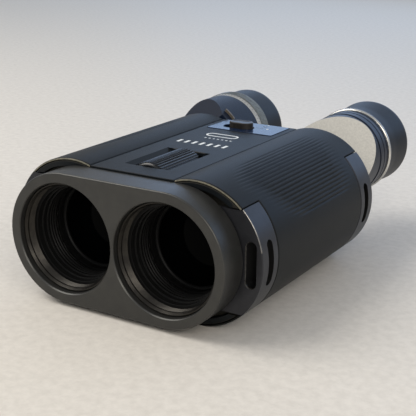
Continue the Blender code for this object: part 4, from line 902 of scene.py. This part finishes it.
def wheel():
    """The focus wheel: a drum with chamfered ends, and its ridges."""
    front, back = WHEEL_LOW.y, WHEEL_HIGH.y
    core = WHEEL_RADIUS - 0.42
    axle = 2.1
    profile = [(axle, front, 0.2), (core - 0.8, front, 0.5), (core, front + 0.8, 0.3),
               (core, back - 0.8, 0.3), (core - 0.8, back, 0.5), (axle, back, 0.2)]
    drum = turned("focus_wheel_drum", profile, (0, WHEEL_Z))
    shown(drum, "focus_knob", "black_shell", FINISH["wheel"], "focus_wheel")
    ribs = ridges("focus_wheel_ridges", 46, core, front + 0.9, back - 0.9, (0, WHEEL_Z), 0.4, 0.36,
                  FINISH["wheel"])
    shown(ribs, "focus_knob", "black_shell", FINISH["wheel"])


def panel():
    """The gloss panel with the switch's slot, and its small printed marks."""
    x1, y0, y1 = PANEL_HIGH.x, PANEL_LOW.y, PANEL_HIGH.y
    middle = (y0 + y1) / 2
    plate = upright("gloss_panel_plate", rounded_box(x1, (y1 - y0) / 2, 1.0, 0, middle),
                    [(PANEL_LOW.z, 0.0), (PANEL_HIGH.z - 0.25, 0.0), (PANEL_HIGH.z - 0.08, 0.07),
                     (PANEL_HIGH.z, 0.25)])
    travel, room = 3.0, 0.3
    knob_x, knob_y = (KNOB_LOW.x + KNOB_HIGH.x) / 2, (KNOB_LOW.y + KNOB_HIGH.y) / 2
    half_x, half_y = (KNOB_HIGH.x - KNOB_LOW.x + travel) / 2 + room, (KNOB_HIGH.y - KNOB_LOW.y) / 2 + room
    slot = rounded_box(half_x, half_y, half_y - 0.01, knob_x - travel / 2, knob_y, 16)
    cut(plate, upright("slot", slot, [(0, 0.0), (PANEL_HIGH.z - 0.2, 0.0), (PANEL_HIGH.z + 0.6, -0.8)]))
    led_x, led_y = (LED_LOW.x + LED_HIGH.x) / 2, (LED_LOW.y + LED_HIGH.y) / 2
    led_radius = (LED_HIGH.x - LED_LOW.x) / 2 + 0.1
    cut(plate, upright("led hole", rounded_box(led_radius, led_radius, led_radius - 0.01, led_x, led_y),
                       [(0, 0.0), (PANEL_HIGH.z + 1, 0.0)]))
    shown(plate, "body", "gloss_panel", FINISH["panel"], "control_panel")
    dome = rounded_box(led_radius - 0.1, led_radius - 0.1, led_radius - 0.12, led_x, led_y, 10)
    lamp = upright("status_lamp_dome", dome, [(LED_LOW.z, 0.0), (PANEL_HIGH.z - 0.1, 0.0),
                                              (PANEL_HIGH.z + 0.06, 0.2), (PANEL_HIGH.z + 0.1, 0.5)])
    shown(lamp, "body", "led_lens", FINISH["lamp"], "status_led")
    lift = 0.03
    spots = ((0.42, led_x + 0.1, led_y + 3.2), (0.6, led_x + 3.6, led_y - 4.6))
    marks = [upright("mark", rounded_box(half, half, half - 0.01, x, y, 8),
                     [(PANEL_HIGH.z - 0.02, 0.0), (PANEL_HIGH.z + lift, 0.0)]) for half, x, y in spots]
    dots = join(*marks)
    dots.name = "panel_white_dots"
    shown(dots, "body", "gloss_panel", FINISH["print"])
    line = upright("panel_index_line", rounded_box(1.85, 0.2, 0.19, 5.65, knob_y + 3.0, 6),
                   [(PANEL_HIGH.z - 0.02, 0.0), (PANEL_HIGH.z + lift, 0.0)])
    shown(line, "body", "gloss_panel", FINISH["grey_print"])


def switch():
    """The sliding power switch: a dished pill with fine upright ribs round its waist."""
    x, y = (KNOB_LOW.x + KNOB_HIGH.x) / 2, (KNOB_LOW.y + KNOB_HIGH.y) / 2
    half_x, half_y = (KNOB_HIGH.x - KNOB_LOW.x) / 2, (KNOB_HIGH.y - KNOB_LOW.y) / 2
    outline = rounded_box(half_x - 0.15, half_y - 0.15, half_y - 0.16, x, y, 16)
    low, top = KNOB_LOW.z, KNOB_HIGH.z
    pill = upright("power_switch_pill", outline, [(low, 0.0), (top - 0.5, 0.0), (top - 0.22, 0.08),
                                                  (top - 0.06, 0.26), (top, 0.55), (top - 0.02, 1.0),
                                                  (top - 0.3, 1.7)])
    shown(pill, "power_knob", "knurled", FINISH["knob"], "power_switch")
    straight = half_x - half_y
    count = 17
    for name, row_y in (("front", y - half_y + 0.16), ("rear", y + half_y - 0.16)):
        step = 2 * straight / (count - 1)
        row = bars(f"power_switch_ribs_{name}", count, (x - straight, row_y, (low + top) / 2 - 0.1),
                   (step, 0, 0), (step * 0.5, 0.26, top - low - 0.9), FINISH["knob"])
        shown(row, "power_knob", "knurled", FINISH["knob"])


def deck_marks():
    """A plain focus scale of upright strokes and a plain ring, in place of any lettering."""
    z, lift = DECK_HEIGHT, 0.06
    strokes = bars("deck_scale_strokes", 7, (-14.2, 74.5, z), (4.1, 0, 0), (1.5, 4.6, lift), FINISH["print"])
    shown(strokes, "body", "black_shell", FINISH["print"])
    dots = bars("deck_scale_dots", 7, (-7.0, 86.0, z), (2.3, 0, 0), (1.0, 0.9, lift), FINISH["print"])
    shown(dots, "body", "black_shell", FINISH["print"])
    x, y = -2.0, 93.3
    ring = upright("deck_oval_mark", rounded_box(8.6, 3.0, 2.9, x, y, 16),
                   [(z - 0.02, 0.0), (z + lift / 2, 0.0)])
    cut(ring, upright("hollow", rounded_box(7.6, 2.0, 1.9, x, y, 16), [(0, 0.0), (THROUGH, 0.0)]))
    shown(ring, "body", "black_shell", FINISH["print"])


# ---------------------------------------------------------------- eyepieces

OFFSET = hypot(EYE_X - OBJECTIVE_X, EYE_Z)
OFFSET_ANGLE = atan2(EYE_Z, EYE_X - OBJECTIVE_X)
PRISM_SIDE, PRISM_WALL, POCKET = 14.0, 1.2, 14.8
LOBE_RADIUS = (PRISM_SIDE / 2 + GAP) * sqrt(2) + PRISM_WALL
NECK_RADIUS, NECK_BORE = 18.0, 15.6
HOUSING_RADIUS = {"left": 21.8, "right": 20.7}
FACET_LEAN = {"left": 5.5, "right": 1.2}
TUNNEL_START = POCKET + PRISM_WALL + 1.2   # leaves the left barrel room to travel


def eye_axis(side):
    return (SIDES[side] * EYE_X, EYE_Z)


def along(side, u, v=0.0):
    """The (x, z) point at u outwards from the eyepiece axis and v across."""
    c, s = cos(OFFSET_ANGLE), sin(OFFSET_ANGLE)
    return SIDES[side] * (EYE_X + u * c - v * s), EYE_Z + u * s + v * c


def wedge_along(side, corners, half):
    """A three-sided cutter whose triangle is given as (u, y)."""
    rings = []
    for v in (-half, half):
        rings.append([(along(side, u, v)[0], y, along(side, u, v)[1]) for u, y in corners])
    return lofted("wedge", rings)


def housing(side):
    """The eyepiece casting: a round barrel with a slanted facet, its lobe and its neck."""
    node = f"ocular_housing_{side}"
    front, neck_end = length_of(node)
    radius, centre = HOUSING_RADIUS[side], eye_axis(side)
    ring_node = "diopter_ring" if side == "left" else "grip_ring_right"
    barrel_end = length_of(ring_node)[0] - GAP
    body = turned(f"{node}_casting", [(0, front), (radius, front, 0.3), (radius, barrel_end, 0.4),
                                      (NECK_RADIUS, barrel_end), (NECK_RADIUS, neck_end, 0.2), (0, neck_end)],
                  centre)
    inner = (SIDES[side] * OBJECTIVE_X, 0)

    def lobe_outline(inset):
        return hull_of_circles(LOBE_RADIUS - inset, inner, LOBE_RADIUS - inset - 1e-4, centre)

    lobe = lofted("lobe", edged(lobe_outline, front, front + POCKET + PRISM_WALL, 0.3, 0.6))
    half = PRISM_SIDE / 2 + GAP
    corners = [(-OFFSET - half, -half), (half, -half), (half, half), (-OFFSET - half, half)]
    outline = [along(side, u, v) for u, v in corners]
    pocket = lofted("pocket", [[(x, y, z) for x, z in outline]
                               for y in (front - BEYOND, front + PRISM_SIDE + GAP)])
    deep, mirror = half + BEYOND, front - GAP * sqrt(2) + PRISM_SIDE / 2
    before = [(-deep, mirror - deep), (deep, mirror - deep), (deep, mirror + deep)]
    cut(pocket, wedge_along(side, before, deep))
    reach, crossing = radius + 2 * BEYOND, front - FACET_LEAN[side]
    facet = wedge_along(side, [(reach, crossing + reach), (-reach, crossing - reach),
                               (reach, crossing - reach)], reach)
    tunnel = cylinder("tunnel", NECK_BORE, front + TUNNEL_START, neck_end + BEYOND, centre)
    window = cylinder("window", PRISM_SIDE / 2 - 1, front + PRISM_SIDE / 2, front + TUNNEL_START + 1, centre)
    join(body, lobe)
    cut(body, facet)
    edge = body.modifiers.new("edge", "BEVEL")
    edge.width, edge.segments = 0.22 * MM, 2
    edge.limit_method, edge.angle_limit = "ANGLE", radians(34)
    settled(body)
    cut(body, pocket, tunnel, window)
    slot, finish = ("dark_satin", "blue_casting") if side == "left" else ("light_grey", "grey_casting")
    shown(body, f"turret_{side}", slot, FINISH[finish], node)
    if side == "right":
        accent(body, FINISH["blue_ring"],
               lambda x, y, z: hypot(x - centre[0], z - centre[1]) > radius - 0.25)


def diopter():
    """The knurled ring, its bright cone and the cone's strokes."""
    front, back = length_of("diopter_ring")
    centre, inner = eye_axis("left"), NECK_RADIUS + 0.15
    radius = radius_of("diopter_ring")
    cone, core = 2.6, radius - 0.22
    profile = [(inner, front), (radius - 1.0, front, 0.15), (core, front + cone, 0.2), (core, back, 0.3),
               (inner, back)]
    ring = turned("diopter_ring_metal", profile, centre)
    shown(ring, "diopter", "knurled", FINISH["knurl"], "diopter_ring")
    accent(ring, FINISH["polish"], lambda x, y, z: y < front + cone - 0.3)
    knurl = ridges("diopter_knurl", 150, core, front + cone + 0.5, back - 0.6, centre, 0.2, 0.3,
                   FINISH["knurl"], sides=6)
    shown(knurl, "diopter", "knurled", FINISH["knurl"])
    lean = -degrees(atan2(radius - core + 0.78, cone))
    strokes = ridges("diopter_scale_strokes", 72, radius - 0.45, front + 1.2, front + 2.4, centre, 0.05, 0.13,
                     FINISH["grey_print"], lean=lean, sides=6)
    shown(strokes, "diopter", "knurled", FINISH["grey_print"])


def index_tab():
    """The thin upright tab beside the switch, against which the left eyepiece is set."""
    low, high = extent("index_tab")
    start, stop, tall, thick = 40, 57, 1.3, 1.0
    x, z = eye_axis("left")
    inner = HOUSING_RADIUS["left"] + 0.1
    front = (low.y + high.y - thick) / 2
    outline = arc(inner + tall, start, stop, 12, x, z) + arc(inner, stop, start, 12, x, z)
    tab = lofted("index_tab_blade", [[(x, y, z) for x, z in outline] for y in (front, front + thick)])
    shown(tab, "turret_left", "light_grey", FINISH["tab"], "index_tab")


def grip():
    front, back = length_of("grip_ring_right")
    radius, inner = radius_of("grip_ring_right"), NECK_RADIUS + GAP
    profile = [(inner, front), (radius, front, 0.35)]
    for groove in (4.2, 7.8):
        start, stop = front + groove, front + groove + 0.6
        profile += [(radius, start, 0.18), (radius - 0.5, start, 0.15), (radius - 0.5, stop, 0.15),
                    (radius, stop, 0.18)]
    profile += [(radius, back, 0.35), (inner, back)]
    shown(turned("grooved_grip_ring", profile, eye_axis("right")), "turret_right", "dark_satin",
          FINISH["blue_ring"], "grip_ring_right")


def trim():
    front, back = length_of("trim_ring_right")
    radius, inner = radius_of("trim_ring_right"), NECK_RADIUS + GAP
    profile = [(inner, front), (radius - 0.6, front, 0.2), (radius, front + 0.7, 0.35),
               (radius, back - 0.7, 0.35), (radius - 0.6, back, 0.2), (inner, back)]
    ring = turned("polished_trim_ring", profile, eye_axis("right"))
    shown(ring, "turret_right", "bright_metal", FINISH["blue_ring"], "trim_ring_right")
    accent(ring, FINISH["polish"], lambda x, y, z: y < front + 1.0)


def cup(side):
    """The rubber eyecup, with a soft rolled rim and a dished end."""
    front, back = length_of(f"eyecup_{side}")
    near, far = {"left": (20.9, 20.9), "right": (20.8, 21.8)}[side]
    bore, opening, web = NECK_RADIUS + 0.1, 14.6, 3.4
    flare = front + (back - front) / 3
    profile = [(bore, front, 0.2), (near, front, 0.5), (near, flare, 2.0), (far, back - 2.0, 1.5),
               (far - 0.4, back, 1.2), (opening + 2.2, back, 0.8), (opening, back - 1.6, 1.0),
               (opening, back - web, 0.3), (bore, back - web)]
    shown(turned(f"rubber_eyecup_{side}", profile, eye_axis(side)), f"cup_{side}", "rubber", FINISH["cup"],
          f"eyecup_{side}")


def eye_end(side):
    """The eye lens in the end of its barrel."""
    body = "ocular_left" if side == "left" else "turret_right"
    front, back = length_of(f"ocular_barrel_{side}")
    radius = radius_of(f"ocular_barrel_{side}")
    bore, seat = radius - 1.8, back - 5.8
    lip = bore - 1.5
    profile = [(bore, front), (radius, front, 0.2), (radius, back, 0.3), (bore, back, 0.3), (bore, seat),
               (lip, seat), (lip, seat - 1.5), (bore, seat - 1.5)]
    shown(turned(f"eye_lens_barrel_{side}", profile, eye_axis(side)), body, "baffle_black", FINISH["flock"],
          f"ocular_barrel_{side}")
    front, back = length_of(f"eye_lens_{side}")
    glass = lens_face(f"eye_glass_{side}", radius_of(f"eye_lens_{side}"), front, back, 1.2, eye_axis(side),
                      faces_front=False)
    shown(glass, body, "glass", FINISH["eye_lens"], f"eye_lens_{side}", angle=60)


def battery_cap():
    """The coin-slotted cap with a finely ribbed flange."""
    front, back = CAP_LOW.y, CAP_HIGH.y
    radius = (CAP_HIGH.x - CAP_LOW.x) / 2
    plug, seat = radius - 1.2, BODY_REAR + GAP
    rim = radius - 0.2
    cap = turned("battery_cap_disc", [(0, front), (plug, front), (plug, seat), (rim, seat, 0.2),
                                      (rim, back, 0.35), (rim - 1.6, back, 0.1),
                                      (rim - 1.9, back - 0.25, 0.1), (0, back - 0.25)], (0, CAP_Z))
    cut(cap, block("slot", (-6.0, 6.0), (back - 1.0, back + BEYOND), (CAP_Z - 0.9, CAP_Z + 0.9)))
    shown(cap, "battery_door", "black_shell", FINISH["hood"], "battery_cap")
    ribs = ridges("battery_cap_ribs", 60, rim, seat + 0.3, back - 0.45, (0, CAP_Z), 0.18, 0.3, FINISH["hood"],
                  sides=6)
    shown(ribs, "battery_door", "black_shell", FINISH["hood"])


# ---------------------------------------------------------------- carried-over CAD nodes

KEPT = {
    "recess": ("front_bulkhead", "rear_bulkhead"),
    "alloy": ("chassis", "focus_yoke", "gimbal_outer_frame", "gimbal_prism_frame", "turret_plate_left",
              "turret_plate_right"),
    "steel": ("focus_shaft", "pitch_actuator", "yaw_actuator"),
    "circuit": ("control_board",),
    "wrap": ("battery",),
    "flock": ("battery_tube", "objective_cell_left", "objective_cell_right", "eyecup_guide_left",
              "eyecup_guide_right"),
    "prism": ("erecting_prism_left", "erecting_prism_right", "rhomboid_prism_left", "rhomboid_prism_right"),
}


def carry_over():
    for finish, nodes in KEPT.items():
        for node in nodes:
            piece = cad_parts[node]
            piece.data.materials.clear()
            piece.data.materials.append(FINISH[finish])


# ---------------------------------------------------------------- floor, light and camera

def floor():
    bm = bmesh.new()
    bmesh.ops.create_grid(bm, x_segments=1, y_segments=1, size=3.0)
    top = made(bm, "pale_floor", keep_normals=True)
    top.data.materials.append(coated("pale_brushed_floor", tone(216, 211, 203), tone(205, 200, 192), 4.0,
                                     (0.5, 0.65), 0.7, 0.03, specular=0.3, stretch=(0.12, 1, 1)))


def softbox(name, at, aim, size, power, colour=(1, 1, 1)):
    data = bpy.data.lights.new(name, "AREA")
    data.shape = "RECTANGLE"
    data.size, data.size_y = size
    data.energy, data.color = power, colour
    lamp = bpy.data.objects.new(name, data)
    lamp.location = at
    lamp.rotation_euler = (Vector(aim) - Vector(at)).to_track_quat("-Z", "Y").to_euler()
    bpy.context.collection.objects.link(lamp)


def studio():
    world = bpy.data.worlds.new("soft studio")
    bpy.context.scene.world = world
    world.use_nodes = True
    sky = world.node_tree.nodes["Background"]
    sky.inputs["Color"].default_value = (0.74, 0.76, 0.79, 1)
    sky.inputs["Strength"].default_value = 0.62
    middle = (0.0, 0.0, 0.03)
    softbox("key", (-0.7, -0.35, 0.95), middle, (0.8, 0.8), 10.5, (1.0, 0.96, 0.90))
    softbox("fill", (0.75, -0.7, 0.6), middle, (0.8, 0.5), 5.5, (1.0, 0.93, 0.84))
    softbox("rear", (0.1, 1.25, 0.5), middle, (2.2, 0.5), 5.0, (0.34, 0.58, 1.0))


def camera():
    """Stands in front, to the right and above, with the body's length running away from it."""
    azimuth, elevation, roll = radians(31.46), radians(17.39), radians(0.42)
    back = Vector((sin(azimuth) * cos(elevation), -cos(azimuth) * cos(elevation), sin(elevation)))
    level = back.cross(Vector((0, 0, 1))) * -1
    level.normalize()
    rise = level.cross(-back)
    right, up = level * cos(roll) + rise * sin(roll), rise * cos(roll) - level * sin(roll)
    distance = 380.4
    target = place(44.9, 0.0, 25.6)
    turn = Matrix((right, up, back)).transposed().to_4x4()
    data = bpy.data.cameras.new("camera")
    data.lens, data.sensor_width = 85.8, 36.0
    data.shift_x, data.shift_y = 0.0101, 0.0023
    data.clip_start = 0.01
    eye = bpy.data.objects.new("camera", data)
    eye.matrix_world = Matrix.Translation(target + back * distance * MM) @ turn
    bpy.context.collection.objects.link(eye)
    bpy.context.scene.camera = eye
    bpy.context.scene.view_settings.view_transform = "Standard"


def build():
    carry_over()
    hood()
    shell()
    for side in SIDES:
        filter_ring(side)
        baffle(side)
        objective(side)
        armour(side)
        for end in ("front", "rear"):
            lug(side, end)
        housing(side)
        cup(side)
        eye_end(side)
    underside_fittings()
    wheel()
    panel()
    switch()
    deck_marks()
    diopter()
    index_tab()
    grip()
    trim()
    battery_cap()
    floor()
    studio()
    camera()


build()
